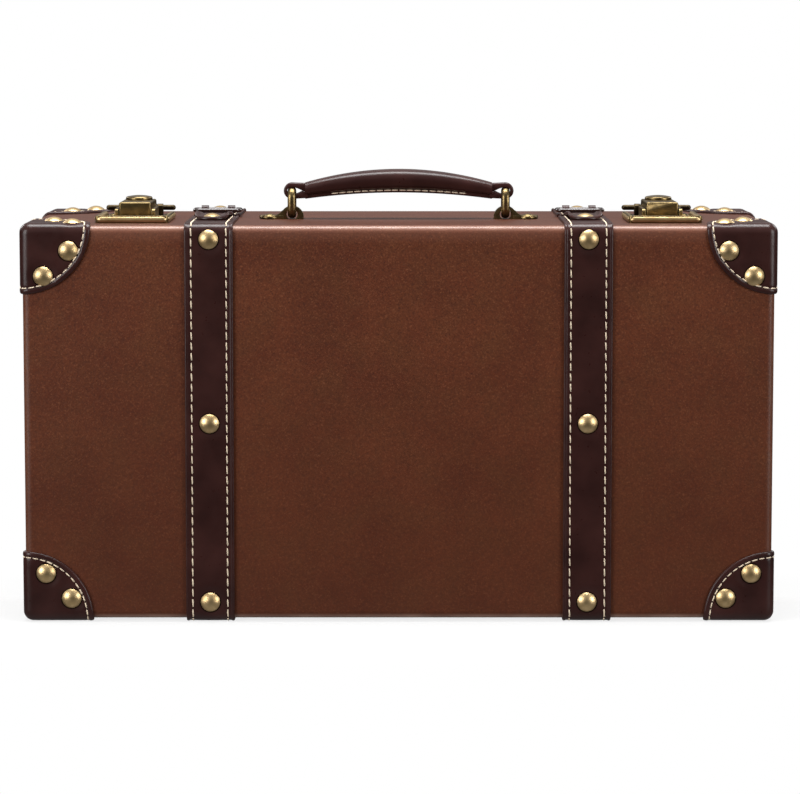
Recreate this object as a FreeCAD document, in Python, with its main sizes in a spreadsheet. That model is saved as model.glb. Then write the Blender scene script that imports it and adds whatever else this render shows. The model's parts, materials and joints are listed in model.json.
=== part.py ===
"""Leather suitcase: two hinged halves, corner caps, straps, clasps and a carrying handle.

Frame: +X to the right, +Y to the back (the lid), +Z up, millimetres.
The case stands on its hinge edge, with the floor at Z = 0 and the split at Y = 0.
"""
import FreeCAD, Part
import os
import re
from FreeCAD import Placement, Rotation, Vector

SIZES = [
    # body
    ("body_width", 600, "leather body, along X"),
    ("body_height", 317, "leather body, along Z"),
    ("base_depth", 98, "front half, along Y"),
    ("lid_depth", 98, "back half, along Y"),
    ("edge_radius", 6, "rounding of the leather body's edges"),
    ("leather", 1.6, "body leather thickness"),
    ("board", 5, "board thickness"),
    ("lining", 1.4, "lining of the front half"),
    ("cavity_radius", 4, "rounding inside the board"),
    ("split_gap", 0.4, "gap between the halves"),
    ("rim_wall", 3, "rim thickness"),
    ("rim_depth", 18, "rim inside the front half"),
    ("rim_reach", 8, "rim inside the lid"),
    ("rim_clearance", 0.6, "lid lining to rim"),
    # leather trim
    ("trim", 2.2, "trim leather thickness"),
    ("cap_radius", 55, "corner cap flap"),
    ("strap_share", 0.53, "share of the free room between bracket and strap"),
    ("strap_width", 38.4, "strap width"),
    ("strap_end", 8, "strap end to the split"),
    ("stud_diameter", 15.8, "domed stud"),
    ("stud_rise", 3.8, "domed stud height"),
    ("stud_ring", 41, "cap studs from the corner"),
    ("stud_angle", 24.5, "cap studs from the two edges"),
    ("stud_turn", 8, "top flap studs turned towards the outer face"),
    ("stud_drop", 3, "top caps: studs further from the top edge"),
    ("end_stud", 32, "end flap stud from both edges"),
    ("stud_high", 11, "top strap stud below the body top"),
    ("stud_low", 14, "bottom strap stud above the body bottom"),
    # strap tab, buckle and chape
    ("tab_width", 28, "tab and chape width"),
    ("tab_leather", 1.4, "tab thickness"),
    ("tab_front", 67, "tab tip in front of the split"),
    ("tab_back", 19, "tab tail behind the split"),
    ("tab_gap", 0.2, "tab over the strap"),
    ("tab_stud_back", 13, "tab stud centre behind the tip"),
    ("buckle_bar", 3.4, "buckle rod diameter"),
    ("buckle_width", 41, "buckle, outside"),
    ("buckle_depth", 16, "between the bars' centres"),
    ("buckle_corner", 4, "bend at the rod's centre"),
    ("buckle_place", 26, "rear bar behind the split"),
    ("chape_end", 66, "chape end behind the split"),
    ("chape_stud", 50, "chape stud behind the split"),
    ("chape_leather", 1.6, "chape thickness"),
    ("chape_slot", 16, "opening in the chape's fold"),
    ("bar_clearance", 0.05, "rods in their bores"),
    # handle
    ("handle_place", 12, "handle in front of the split"),
    ("ring_place", 88, "handle ring from the middle"),
    ("ring_rod", 4.6, "ring rod diameter"),
    ("ring_inner", 4.6, "inner radius of the ring's ends"),
    ("ring_length", 7.6, "between the ring's end centres"),
    ("ring_floor", 0.4, "ring above the body top"),
    ("loop_inner", 3.9, "leather loop, inner radius"),
    ("loop_leather", 2.8, "leather loop thickness"),
    ("loop_width", 8, "leather loop along Y"),
    ("loop_slot", 7, "slot end from the ring"),
    ("grip_half", 77, "half length of the grip"),
    ("grip_rise", 8.2, "arch of the grip"),
    ("grip_end_high", 13.6, "grip end thickness"),
    ("grip_high", 19.5, "grip thickness in the middle"),
    ("grip_end_wide", 15, "grip end width"),
    ("grip_wide", 24, "grip width in the middle"),
    ("bracket_depth", 7.6, "bracket arch along Y"),
    ("bracket_bridge", 2.4, "bracket arch over the ring"),
    ("bracket_radius", 9.6, "bracket arch outside"),
    ("bracket_wide", 12, "bracket tab along Y"),
    ("bracket_plate", 3, "bracket tab thickness"),
    ("bracket_stud_place", 21, "bracket stud from the ring"),
    ("bracket_stud", 9, "bracket stud diameter"),
    ("bracket_stud_rise", 3, "bracket stud height"),
    ("bracket_seat", 1.4, "bracket tab under its stud"),
    ("bracket_rim", 0.7, "round the bracket stud"),
    ("neck_radius", 8, "hollow between arch and tab"),
    ("neck_high", 6.8, "neck beside the arch"),
    # clasps
    ("lock_end", 85, "clasp centre from the body's end"),
    ("lock_width", 59, "lock plate along X"),
    ("lock_front", 68, "lock plate front, before the split"),
    ("lock_back", 4, "lock plate back, before the split"),
    ("lock_plate", 1.5, "lock plate floor"),
    ("lock_rim", 2.6, "lock plate rim width"),
    ("lock_rim_high", 5.8, "lock plate rim height"),
    ("ear_wall", 3, "lock ear thickness"),
    ("ear_high", 10, "lock ear height"),
    ("ear_depth", 34, "lock ear along Y"),
    ("ear_gap", 0.5, "lock ear to hasp"),
    ("pad_high", 2.6, "seat under the hasp"),
    ("hasp_gap", 0.3, "hasp over its seat"),
    ("hasp_width", 26, "hasp along X"),
    ("hasp_front", 40, "hasp nose before the split"),
    ("hasp_high", 10.8, "hasp block height"),
    ("hasp_knuckle", 3.4, "hasp knuckle radius"),
    ("hasp_round", 1.4, "hasp nose and edge rounding"),
    ("hasp_heel", 3, "rounding of the hasp's rear top edge"),
    ("rod_place", 14, "hasp rod behind the split"),
    ("rod_diameter", 4.4, "hasp rod"),
    ("rod_length", 58, "hasp rod with its round ends"),
    ("keeper_plate", 1.5, "keeper plate thickness"),
    ("keeper_width", 56, "keeper plate along X"),
    ("keeper_depth", 20, "keeper plate along Y"),
    ("post_width", 5, "keeper post along X"),
    ("post_radius", 3.2, "keeper post round the rod"),
    ("knob_diameter", 22, "push knob"),
    ("knob_edge", 2.8, "push knob edge"),
    ("knob_rise", 1.4, "push knob dome"),
    ("knob_travel", 1.5, "push knob travel"),
    ("knob_rest", 0.3, "knob to its recess in the hasp"),
    ("knob_stem", 8, "push knob stem diameter"),
    ("knob_stem_long", 6, "push knob stem in the hasp"),
    ("knob_place", 2, "push knob before the split"),
    ("stem_clearance", 0.08, "stem in the hasp"),
    ("screw_diameter", 8, "screw head"),
    ("screw_rise", 1.6, "screw head height"),
    # hinges
    ("hinge_place", 78, "hinge centre from the middle"),
    ("hinge_length", 60, "hinge along X"),
    ("hinge_leaf", 16, "hinge leaf along Y"),
    ("hinge_plate", 1.2, "hinge leaf thickness"),
    ("knuckle_radius", 2, "hinge knuckle"),
    ("knuckle_gap", 0.4, "hinge knuckle to its neighbours"),
    ("pin_radius", 0.9, "hinge pin"),
]

doc = FreeCAD.newDocument("suitcase")
sheet = doc.addObject("Spreadsheet::Sheet", "Sizes")
for row, (alias, value, note) in enumerate(SIZES, start=1):
    sheet.set(f"A{row}", alias)
    sheet.set(f"B{row}", str(value))
    sheet.set(f"C{row}", note)
    sheet.setAlias(f"B{row}", alias)
doc.recompute()

ALIASES = {alias for alias, value, note in SIZES}
SIDES = {"left": -1, "right": 1}
nodes = []

# Places that several pieces share, as formulas of the sheet's sizes.
BODY_TOP = "(trim + body_height)"
TRIM_TOP = "(trim + body_height + trim)"
LOCK_X = "(body_width / 2 - lock_end)"
BRACKET_TIP = "(ring_place + bracket_stud_place + bracket_wide / 2)"
STRAP_ROOM = f"({LOCK_X} - lock_width / 2 - {BRACKET_TIP} - strap_width)"
STRAP_X = f"({BRACKET_TIP} + strap_width / 2 + strap_share * {STRAP_ROOM})"
RING_MID = "(ring_inner + ring_rod / 2)"
SWING_Z = f"({BODY_TOP} + ring_floor + ring_inner + ring_rod)"
LOOP_Z = f"({SWING_Z} + ring_length + {RING_MID} - (loop_inner - ring_rod / 2) / 2)"
BUCKLE_Z = f"({TRIM_TOP} + buckle_bar / 2 + bar_clearance + chape_leather)"
HASP_FLOOR = f"({BODY_TOP} + lock_plate + pad_high + hasp_gap)"
HASP_TOP = f"({HASP_FLOOR} + hasp_high)"
ROD_Z = f"({HASP_FLOOR} + hasp_knuckle)"


def size(alias):
    """Value of one cell of the sheet."""
    return float(sheet.get(alias))


def sized(formula):
    """Formula in which each size's name is written as its cell."""
    def cell(word):
        return f"Sizes.{word[0]}" if word[0] in ALIASES else word[0]

    return re.sub(r"[a-z_]+", cell, str(formula))


def bind(thing, **formulas):
    """Ties the properties of an object to the sheet."""
    for name, formula in formulas.items():
        thing.setExpression(name, sized(formula))
    return thing


def place(thing, x="0", y="0", z="0", turn=None):
    """Puts an object at a place that follows the sheet."""
    thing.Placement = Placement(Vector(), turn or Rotation())
    for letter, formula in (("x", x), ("y", y), ("z", z)):
        thing.setExpression(f"Placement.Base.{letter}", sized(formula))
    return thing


def keep(thing):
    """Lists an object as a sub-part of the suitcase."""
    thing.Label = thing.Name
    nodes.append(thing)
    return thing


ALONG_X = Rotation(Vector(0, 1, 0), 90)
ALONG_Y = Rotation(Vector(1, 0, 0), -90)


def block(name, x, y, z, length, width, height):
    """Box from its low corner."""
    box = doc.addObject("Part::Box", name)
    bind(box, Length=length, Width=width, Height=height)
    return place(box, x, y, z)


def rod(name, x, y, z, radius, length, turn=None):
    """Cylinder from the centre of its first end."""
    cylinder = doc.addObject("Part::Cylinder", name)
    bind(cylinder, Radius=radius, Height=length)
    return place(cylinder, x, y, z, turn)


def fuse(name, pieces):
    joined = doc.addObject("Part::MultiFuse", name)
    joined.Shapes = pieces
    joined.Refine = True
    return joined


def cut(name, base, tool):
    result = doc.addObject("Part::Cut", name)
    result.Base = base
    result.Tool = tool
    return result


def common(name, base, tool):
    result = doc.addObject("Part::Common", name)
    result.Base = base
    result.Tool = tool
    return result


def together(name, pieces):
    """Several separate solids of one kind as one sub-part."""
    group = doc.addObject("Part::Compound", name)
    group.Links = pieces
    return group


# The two halves of the body

HALVES = {"base": ("base_depth", -1), "lid": ("lid_depth", 1)}


def half_block(name, half, inset, radius, grooved=False):
    """Rounded half of the case, inset from the leather's outer face and cut at the split."""
    depth, side = HALVES[half]
    past = "(2 * edge_radius)"
    body = doc.addObject("PartDesign::Body", name)
    full = body.newObject("PartDesign::AdditiveBox", name + "_full")
    bind(full, Length=f"body_width - 2 * {inset}", Height=f"body_height - 2 * {inset}",
         Width=f"{depth} - {inset} + {past}")
    place(full, f"-body_width / 2 + {inset}", f"-{depth} + {inset}" if side < 0 else f"-{past}",
          f"trim + {inset}")
    doc.recompute()
    round_edges = body.newObject("PartDesign::Fillet", name + "_edges")
    round_edges.Base = (full, [""])
    round_edges.UseAllEdges = True
    bind(round_edges, Radius=radius)
    split = body.newObject("PartDesign::SubtractiveBox", name + "_split")
    bind(split, Length="2 * body_width", Width="2 * (base_depth + lid_depth)", Height="2 * body_height")
    split_y = "-split_gap / 2" if side < 0 else "split_gap / 2 - 2 * (base_depth + lid_depth)"
    place(split, "-body_width", split_y, "-body_height / 2")
    if grooved:
        for hand, sign in SIDES.items():
            groove = body.newObject("PartDesign::SubtractiveCylinder", f"{name}_groove_{hand}")
            bind(groove, Radius="knuckle_radius + knuckle_gap", Height="hinge_length + 2 * knuckle_gap")
            place(groove, f"{sign} * hinge_place - hinge_length / 2 - knuckle_gap", "0", "trim", ALONG_X)
    return body


BOARD_FACE = "leather"
CAVITY_FACE = "(leather + board)"
LINING = {"base": "lining", "lid": "(lining - rim_clearance)"}
layers = {}

for half in HALVES:
    inner = f"({CAVITY_FACE} + {LINING[half]})"
    outside = half_block(f"{half}_outside", half, "0", "edge_radius", grooved=True)
    board = half_block(f"{half}_board", half, BOARD_FACE, f"edge_radius - {BOARD_FACE}", grooved=True)
    cavity = half_block(f"{half}_cavity", half, CAVITY_FACE, "cavity_radius")
    room = half_block(f"{half}_room", half, inner, f"cavity_radius - {LINING[half]}")
    wrap = half_block(f"{half}_wrap", half, "(-trim)", "edge_radius + trim")
    whole = half_block(f"{half}_whole", half, "0", "edge_radius")
    keep(cut(f"{half}_leather", outside, board))
    keep(cut(f"{half}_shell", board, cavity))
    keep(cut(f"{half}_lining", cavity, room))
    layers[half] = cut(f"{half}_layer", wrap, whole)


def rim():
    """Rim that stands out of the front half and guides the lid."""
    face = f"({CAVITY_FACE} + lining)"
    body = doc.addObject("PartDesign::Body", "base_rim")
    ring = body.newObject("PartDesign::AdditiveBox", "rim_ring")
    bind(ring, Length=f"body_width - 2 * {face}", Width="rim_depth + rim_reach",
         Height=f"body_height - 2 * {face}")
    place(ring, f"-body_width / 2 + {face}", "-rim_depth", f"trim + {face}")
    doc.recompute()
    corners = [f"Edge{n}" for n, edge in enumerate(ring.Shape.Edges, start=1)
               if abs(edge.tangentAt(edge.FirstParameter).y) > 0.9]
    bend = body.newObject("PartDesign::Fillet", "rim_bend")
    bend.Base = (ring, corners)
    bind(bend, Radius="cavity_radius - lining")
    hole = body.newObject("PartDesign::SubtractiveBox", "rim_hole")
    inner = f"({face} + rim_wall)"
    bind(hole, Length=f"body_width - 2 * {inner}", Width="3 * (rim_depth + rim_reach)",
         Height=f"body_height - 2 * {inner}")
    place(hole, f"-body_width / 2 + {inner}", "-2 * (rim_depth + rim_reach)", f"trim + {inner}")
    keep(body)


rim()


# Corner caps, straps and studs

def dome(name, face, across, up, surface, diameter="stud_diameter", rise="stud_rise"):
    """Domed head whose flat side lies on a face of the case."""
    ball = f"(({diameter} / 2) ^ 2 + {rise} ^ 2) / (2 * {rise})"
    head = doc.addObject("Part::Sphere", name)
    bind(head, Radius=ball, Angle1=f"asin(({ball} - {rise}) / ({ball}))")
    outward = f"({surface} - (({ball}) - {rise}))"
    if face == "top":
        return place(head, across, up, outward)
    if face in ("front", "back"):
        sign = -1 if face == "front" else 1
        return place(head, across, f"{sign} * {outward}", up, Rotation(Vector(1, 0, 0), -90 * sign))
    sign = SIDES[face]
    return place(head, f"{sign} * {outward}", across, up, Rotation(Vector(0, 1, 0), 90 * sign))


END_FACE = "(body_width / 2 + trim)"
FLAP_STUDS = [("stud_ring * cos(stud_angle)", "stud_ring * sin(stud_angle)"),
              ("stud_ring * sin(stud_angle)", "stud_ring * cos(stud_angle)")]
TOP_STUDS = [("stud_ring * cos(stud_angle - stud_turn)", "stud_ring * sin(stud_angle - stud_turn)"),
             ("stud_ring * sin(stud_angle + stud_turn)", "stud_ring * cos(stud_angle + stud_turn)")]


def corner_caps(half):
    """Four caps with three round flaps each, and their studs."""
    depth, side = HALVES[half]
    main_face = "front" if side < 0 else "back"
    studs = []
    for level, z, inward in (("bottom", "trim", 1), ("top", BODY_TOP, -1)):
        for hand, sign in SIDES.items():
            name = f"{half}_corner_{level}_{hand}"
            ball = doc.addObject("Part::Sphere", name + "_reach")
            bind(ball, Radius="cap_radius")
            place(ball, f"{sign} * body_width / 2", f"{side} * {depth}", z)
            keep(common(name, layers[half], ball))
            drop = "stud_drop" if level == "top" else "0"
            for turn, (along, down) in enumerate(FLAP_STUDS):
                studs.append(dome(f"{name}_stud_{turn}", main_face, f"{sign} * (body_width / 2 - {along})",
                                  f"{z} + {inward} * ({down} + {drop})", f"({depth} + trim)"))
            studs.append(dome(f"{name}_end_stud", hand, f"{side} * ({depth} - end_stud)",
                              f"{z} + {inward} * (end_stud + {drop})", END_FACE))
            for turn, (along, deep) in enumerate(TOP_STUDS if level == "top" else []):
                studs.append(dome(f"{name}_top_stud_{turn}", "top", f"{sign} * (body_width / 2 - {along})",
                                  f"{side} * ({depth} - {deep})", TRIM_TOP))
    keep(together(f"{half}_corner_rivets", studs))


def straps(half):
    """Two straps round one half, and their studs."""
    depth, side = HALVES[half]
    main_face = "front" if side < 0 else "back"
    studs = []
    for hand, sign in SIDES.items():
        name = f"{half}_strap_{hand}"
        low = f"-({depth} + 2 * trim)" if side < 0 else "strap_end"
        slab = block(name + "_slab", f"{sign} * {STRAP_X} - strap_width / 2", low, "-trim",
                     "strap_width", f"{depth} + 2 * trim - strap_end", "body_height + 4 * trim")
        keep(common(name, layers[half], slab))
        for turn, z in enumerate((f"{BODY_TOP} - stud_high", "trim + body_height / 2", "trim + stud_low")):
            studs.append(dome(f"{name}_stud_{turn}", main_face, f"{sign} * {STRAP_X}", z,
                              f"({depth} + trim)"))
    return studs


for half in HALVES:
    corner_caps(half)
keep(together("base_strap_rivets", straps("base")))
lid_studs = straps("lid")


# Strap tabs with their buckles, carried by a chape on the lid's strap

def buckle(name, x):
    """Rod bent to a rectangle, lying level."""
    turn_x = "(buckle_width / 2 - buckle_bar / 2 - buckle_corner)"
    turn_front = "(buckle_place - buckle_depth + buckle_corner)"
    turn_back = "(buckle_place - buckle_corner)"
    pieces = []
    for part, y in (("front", "buckle_place - buckle_depth"), ("rear", "buckle_place")):
        pieces.append(rod(f"{name}_{part}", f"{x} - {turn_x}", y, BUCKLE_Z, "buckle_bar / 2",
                          f"2 * {turn_x}", ALONG_X))
    for hand, sign in SIDES.items():
        pieces.append(rod(f"{name}_{hand}", f"{x} + {sign} * ({turn_x} + buckle_corner)", turn_front,
                          BUCKLE_Z, "buckle_bar / 2", "buckle_depth - 2 * buckle_corner", ALONG_Y))
        for part, y, start in (("front", turn_front, 270 if sign > 0 else 180),
                               ("rear", turn_back, 0 if sign > 0 else 90)):
            bend = doc.addObject("Part::Torus", f"{name}_{part}_{hand}_bend")
            bind(bend, Radius1="buckle_corner", Radius2="buckle_bar / 2")
            bend.Angle3 = 90
            place(bend, f"{x} + {sign} * {turn_x}", y, BUCKLE_Z, Rotation(Vector(0, 0, 1), start))
            pieces.append(bend)
    keep(fuse(name, pieces))


def tab(hand, sign):
    """Leather tab with a round tip, its stud, its buckle, and the chape that holds the buckle."""
    x = f"{sign} * {STRAP_X}"
    floor = f"({TRIM_TOP} + tab_gap)"
    tip = "(tab_front - tab_width / 2)"
    nose = rod(f"tab_nose_{hand}", x, f"-{tip}", floor, "tab_width / 2", "tab_leather")
    tail = block(f"tab_tail_{hand}", f"{x} - tab_width / 2", f"-{tip}", floor, "tab_width",
                 f"{tip} + tab_back", "tab_leather")
    keep(fuse(f"strap_tab_{hand}", [nose, tail]))
    keep(dome(f"tab_rivet_{hand}", "top", x, "tab_stud_back - tab_front", f"({floor} + tab_leather)"))
    buckle(f"buckle_{hand}", x)
    wall = "(buckle_bar / 2 + bar_clearance + chape_leather)"
    loop = rod(f"chape_loop_{hand}", f"{x} - tab_width / 2", "buckle_place", BUCKLE_Z, wall,
               "tab_width", ALONG_X)
    lower = block(f"chape_tail_{hand}", f"{x} - tab_width / 2", "buckle_place", TRIM_TOP,
                  "tab_width", "chape_end - buckle_place", "chape_leather")
    bore = rod(f"chape_bore_{hand}", f"{x} - tab_width", "buckle_place", BUCKLE_Z,
               "buckle_bar / 2 + bar_clearance", "2 * tab_width", ALONG_X)
    slot = block(f"chape_slot_{hand}", f"{x} - chape_slot / 2", f"buckle_place - 2 * {wall}",
                 f"{TRIM_TOP} + chape_leather", "chape_slot", f"4 * {wall}", f"2 * {wall}")
    solid = fuse(f"chape_solid_{hand}", [loop, lower])
    keep(cut(f"strap_chape_{hand}", solid, fuse(f"chape_clear_{hand}", [bore, slot])))
    lid_studs.append(dome(f"chape_stud_{hand}", "top", x, "chape_stud", f"({TRIM_TOP} + chape_leather)"))


for hand, sign in SIDES.items():
    tab(hand, sign)
keep(together("lid_strap_rivets", lid_studs))


# Handle: two brackets, two rings, two leather loops and an arched grip

def ring(name, x):
    """Closed link that hangs round the bracket's bridge."""
    pieces = []
    for part, rise, start in (("low", "0", -90), ("high", "ring_length", 90)):
        end = doc.addObject("Part::Torus", f"{name}_{part}")
        bind(end, Radius1=RING_MID, Radius2="ring_rod / 2")
        end.Angle3 = 180
        turn = ALONG_X.multiply(Rotation(Vector(0, 0, 1), start))
        pieces.append(place(end, x, "-handle_place", f"{SWING_Z} + {rise}", turn))
    for part, sign in (("near", -1), ("far", 1)):
        pieces.append(rod(f"{name}_{part}", x, f"-handle_place + {sign} * {RING_MID}", SWING_Z,
                          "ring_rod / 2", "ring_length"))
    keep(fuse(name, pieces))


def bracket(hand, sign):
    """Arch over the ring with a tab that points outwards."""
    x = f"({sign} * ring_place)"
    eye = f"(({SWING_Z} - bracket_bridge / 2 - {BODY_TOP}) / 2 + ring_floor)"
    near = "(-handle_place - bracket_depth / 2)"
    arch = rod(f"arch_{hand}", x, near, f"{SWING_Z} + bracket_bridge / 2 - bracket_radius",
               "bracket_radius", "bracket_depth", ALONG_Y)
    end = f"({x} + {sign} * bracket_stud_place)"
    root = f"({x} + {sign} * (bracket_radius - bracket_plate))"
    low = root if sign > 0 else end
    plate = block(f"bracket_plate_{hand}", low, "-handle_place - bracket_wide / 2", BODY_TOP,
                  "bracket_stud_place - bracket_radius + bracket_plate", "bracket_wide", "bracket_plate")
    tip = rod(f"bracket_tip_{hand}", end, "-handle_place", BODY_TOP, "bracket_wide / 2", "bracket_plate")
    hollow_x = f"({x} + {sign} * (bracket_radius + neck_radius - bracket_bridge))"
    neck = block(f"bracket_neck_{hand}", x if sign > 0 else hollow_x, near, BODY_TOP,
                 "bracket_radius + neck_radius - bracket_bridge", "bracket_depth", "neck_high")
    hollow = rod(f"bracket_hollow_{hand}", hollow_x, "-handle_place - bracket_wide",
                 f"{BODY_TOP} + bracket_plate + neck_radius", "neck_radius", "2 * bracket_wide", ALONG_Y)
    shaped = cut(f"bracket_shaped_{hand}", neck, hollow)
    whole = fuse(f"bracket_whole_{hand}", [arch, plate, tip, shaped])
    seat = rod(f"bracket_seat_{hand}", end, "-handle_place", f"{BODY_TOP} + bracket_seat",
               "bracket_stud / 2 + bracket_rim", "bracket_plate")
    hole = rod(f"bracket_eye_{hand}", x, "-handle_place - bracket_wide",
               f"{SWING_Z} - bracket_bridge / 2 - {eye}", eye, "2 * bracket_wide", ALONG_Y)
    under = block(f"bracket_under_{hand}", f"{x} - 2 * bracket_radius", "-handle_place - bracket_wide",
                  f"{BODY_TOP} - 2 * bracket_radius", "4 * bracket_radius", "2 * bracket_wide",
                  "2 * bracket_radius")
    keep(cut(f"handle_bracket_{hand}", whole, fuse(f"bracket_clear_{hand}", [hole, under, seat])))
    return dome(f"bracket_stud_{hand}", "top", end, "-handle_place", f"({BODY_TOP} + bracket_seat)",
                "bracket_stud", "bracket_stud_rise")


def loop(hand, sign):
    """Strap end folded round the ring, with its two tails sewn to the grip."""
    x = f"({sign} * ring_place)"
    near = "(-handle_place - loop_width / 2)"
    outer = "(loop_inner + loop_leather)"
    inward = f"({x} - {sign} * (ring_place - grip_half))"
    slot_end = f"({x} - {sign} * loop_slot)"
    fold = rod(f"loop_fold_{hand}", x, near, LOOP_Z, outer, "loop_width", ALONG_Y)
    tails = block(f"loop_tails_{hand}", inward if sign > 0 else x, near, f"{LOOP_Z} - {outer}",
                  "ring_place - grip_half", "loop_width", f"2 * {outer}")
    hole = rod(f"loop_hole_{hand}", x, near, LOOP_Z, "loop_inner", "loop_width", ALONG_Y)
    slot = block(f"loop_slot_{hand}", slot_end if sign > 0 else x, near, f"{LOOP_Z} - loop_inner",
                 "loop_slot", "loop_width", "2 * loop_inner")
    solid = fuse(f"loop_solid_{hand}", [fold, tails])
    keep(cut(f"handle_loop_{hand}", solid, fuse(f"loop_clear_{hand}", [hole, slot])))


GRIP_STATIONS = (-1, -0.5, 0, 0.5, 1)


def grip():
    """Padded grip, thickest in the middle, lofted through upright ovals along its arch."""
    ovals = []
    for number, u in enumerate(GRIP_STATIONS):
        swell = 1 - u * u
        oval = doc.addObject("Part::Ellipse", f"grip_oval_{number}")
        bind(oval, MajorRadius=f"(grip_end_wide + (grip_wide - grip_end_wide) * {swell}) / 2",
             MinorRadius=f"(grip_end_high + (grip_high - grip_end_high) * {swell}) / 2")
        place(oval, f"{u} * grip_half", "-handle_place", f"{LOOP_Z} + grip_rise * {swell}",
              Rotation(Vector(1, 1, 1), 120))
        ovals.append(oval)
    loft = doc.addObject("Part::Loft", "handle_grip")
    loft.Sections = ovals
    loft.Solid = True
    keep(loft)


bracket_studs = []
for hand, sign in SIDES.items():
    ring(f"handle_ring_{hand}", f"{sign} * ring_place")
    bracket_studs.append(bracket(hand, sign))
    loop(hand, sign)
keep(together("bracket_rivets", bracket_studs))
grip()


# Clasps: a lock plate on the front half, a hasp with a push knob hinged on the lid

def edges_of(feature, wanted):
    """Names of a feature's edges that pass a test on their middle and direction."""
    found = []
    for number, edge in enumerate(feature.Shape.Edges, start=1):
        middle = edge.valueAt((edge.FirstParameter + edge.LastParameter) / 2)
        if wanted(middle, edge.tangentAt(edge.FirstParameter)):
            found.append(f"Edge{number}")
    return found


def add_box(body, name, x, y, z, length, width, height, kind="Additive"):
    box = body.newObject(f"PartDesign::{kind}Box", name)
    bind(box, Length=length, Width=width, Height=height)
    return place(box, x, y, z)


def add_fillet(body, name, feature, wanted, radius):
    doc.recompute()
    fillet = body.newObject("PartDesign::Fillet", name)
    fillet.Base = (feature, edges_of(feature, wanted))
    return bind(fillet, Radius=radius)


def lock_plate(hand, sign):
    """Tray with a raised rim, two ears and a seat for the hasp."""
    x = f"({sign} * {LOCK_X})"
    body = doc.addObject("PartDesign::Body", f"lock_plate_{hand}")
    tray = add_box(body, f"lock_tray_{hand}", f"{x} - lock_width / 2", "-lock_front", BODY_TOP,
                   "lock_width", "lock_front - lock_back", "lock_rim_high")
    add_fillet(body, f"lock_corners_{hand}", tray, lambda at, way: abs(way.z) > 0.9, "lock_rim")
    add_box(body, f"lock_floor_{hand}", f"{x} - lock_width / 2 + lock_rim", "-lock_front + lock_rim",
            f"{BODY_TOP} + lock_plate", "lock_width - 2 * lock_rim", "lock_front", "lock_rim_high",
            "Subtractive")
    ear_back = "(-lock_back - lock_rim)"
    for part, way in SIDES.items():
        inner = f"({x} + {way} * (hasp_width / 2 + ear_gap))"
        ear = add_box(body, f"lock_ear_{part}_{hand}", inner if way > 0 else f"{inner} - ear_wall",
                      f"{ear_back} - ear_depth", BODY_TOP, "ear_wall", "ear_depth", "ear_high")
        top = size("trim") + size("body_height") + size("ear_high")
        front = -size("lock_back") - size("lock_rim") - size("ear_depth")
        add_fillet(body, f"ear_round_{part}_{hand}", ear,
                   lambda at, way: abs(way.x) > 0.9 and abs(at.z - top) < 0.01 and abs(at.y - front) < 0.01,
                   "ear_wall")
    add_box(body, f"lock_seat_{hand}", f"{x} - hasp_width / 2", f"{ear_back} - ear_depth", BODY_TOP,
            "hasp_width", "ear_depth", "lock_plate + pad_high")
    keep(body)
    place_x = "(hasp_width / 2 + ear_gap + ear_wall + lock_width / 2 - lock_rim) / 2"
    return [dome(f"lock_screw_{part}_{hand}", "top", f"{x} + {way} * {place_x}",
                 f"{ear_back} - ear_depth / 2", f"({BODY_TOP} + lock_plate)", "screw_diameter", "screw_rise")
            for part, way in SIDES.items()]


def keeper(hand, sign):
    """Plate on the lid with two posts that hold the hasp's rod."""
    x = f"({sign} * {LOCK_X})"
    plate = block(f"keeper_plate_{hand}", f"{x} - keeper_width / 2", "rod_place - keeper_depth / 2",
                  BODY_TOP, "keeper_width", "keeper_depth", "keeper_plate")
    pieces = [plate]
    for part, way in SIDES.items():
        inner = f"({x} + {way} * (hasp_width / 2 + ear_gap))"
        start = inner if way > 0 else f"({inner} - post_width)"
        pieces.append(block(f"keeper_leg_{part}_{hand}", start, "rod_place - post_radius", BODY_TOP,
                            "post_width", "2 * post_radius", f"{ROD_Z} - {BODY_TOP}"))
        pieces.append(rod(f"keeper_eye_{part}_{hand}", start, "rod_place", ROD_Z, "post_radius",
                          "post_width", ALONG_X))
    bore = rod(f"keeper_bore_{hand}", f"{x} - keeper_width", "rod_place", ROD_Z,
               "rod_diameter / 2 + bar_clearance", "2 * keeper_width", ALONG_X)
    keep(cut(f"hasp_plate_{hand}", fuse(f"keeper_solid_{hand}", pieces), bore))
    half = "(rod_length / 2 - rod_diameter / 2)"
    pieces = [rod(f"hasp_bar_{hand}", f"{x} - {half}", "rod_place", ROD_Z, "rod_diameter / 2",
                  f"2 * {half}", ALONG_X)]
    for part, way in SIDES.items():
        tip = bind(doc.addObject("Part::Sphere", f"hasp_tip_{part}_{hand}"), Radius="rod_diameter / 2")
        pieces.append(place(tip, f"{x} + {way} * {half}", "rod_place", ROD_Z))
    keep(fuse(f"hasp_rod_{hand}", pieces))
    place_x = "(hasp_width / 2 + ear_gap + post_width + keeper_width / 2) / 2"
    return [dome(f"keeper_screw_{part}_{hand}", "top", f"{x} + {way} * {place_x}", "rod_place",
                 f"({BODY_TOP} + keeper_plate)", "screw_diameter", "screw_rise")
            for part, way in SIDES.items()]


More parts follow.
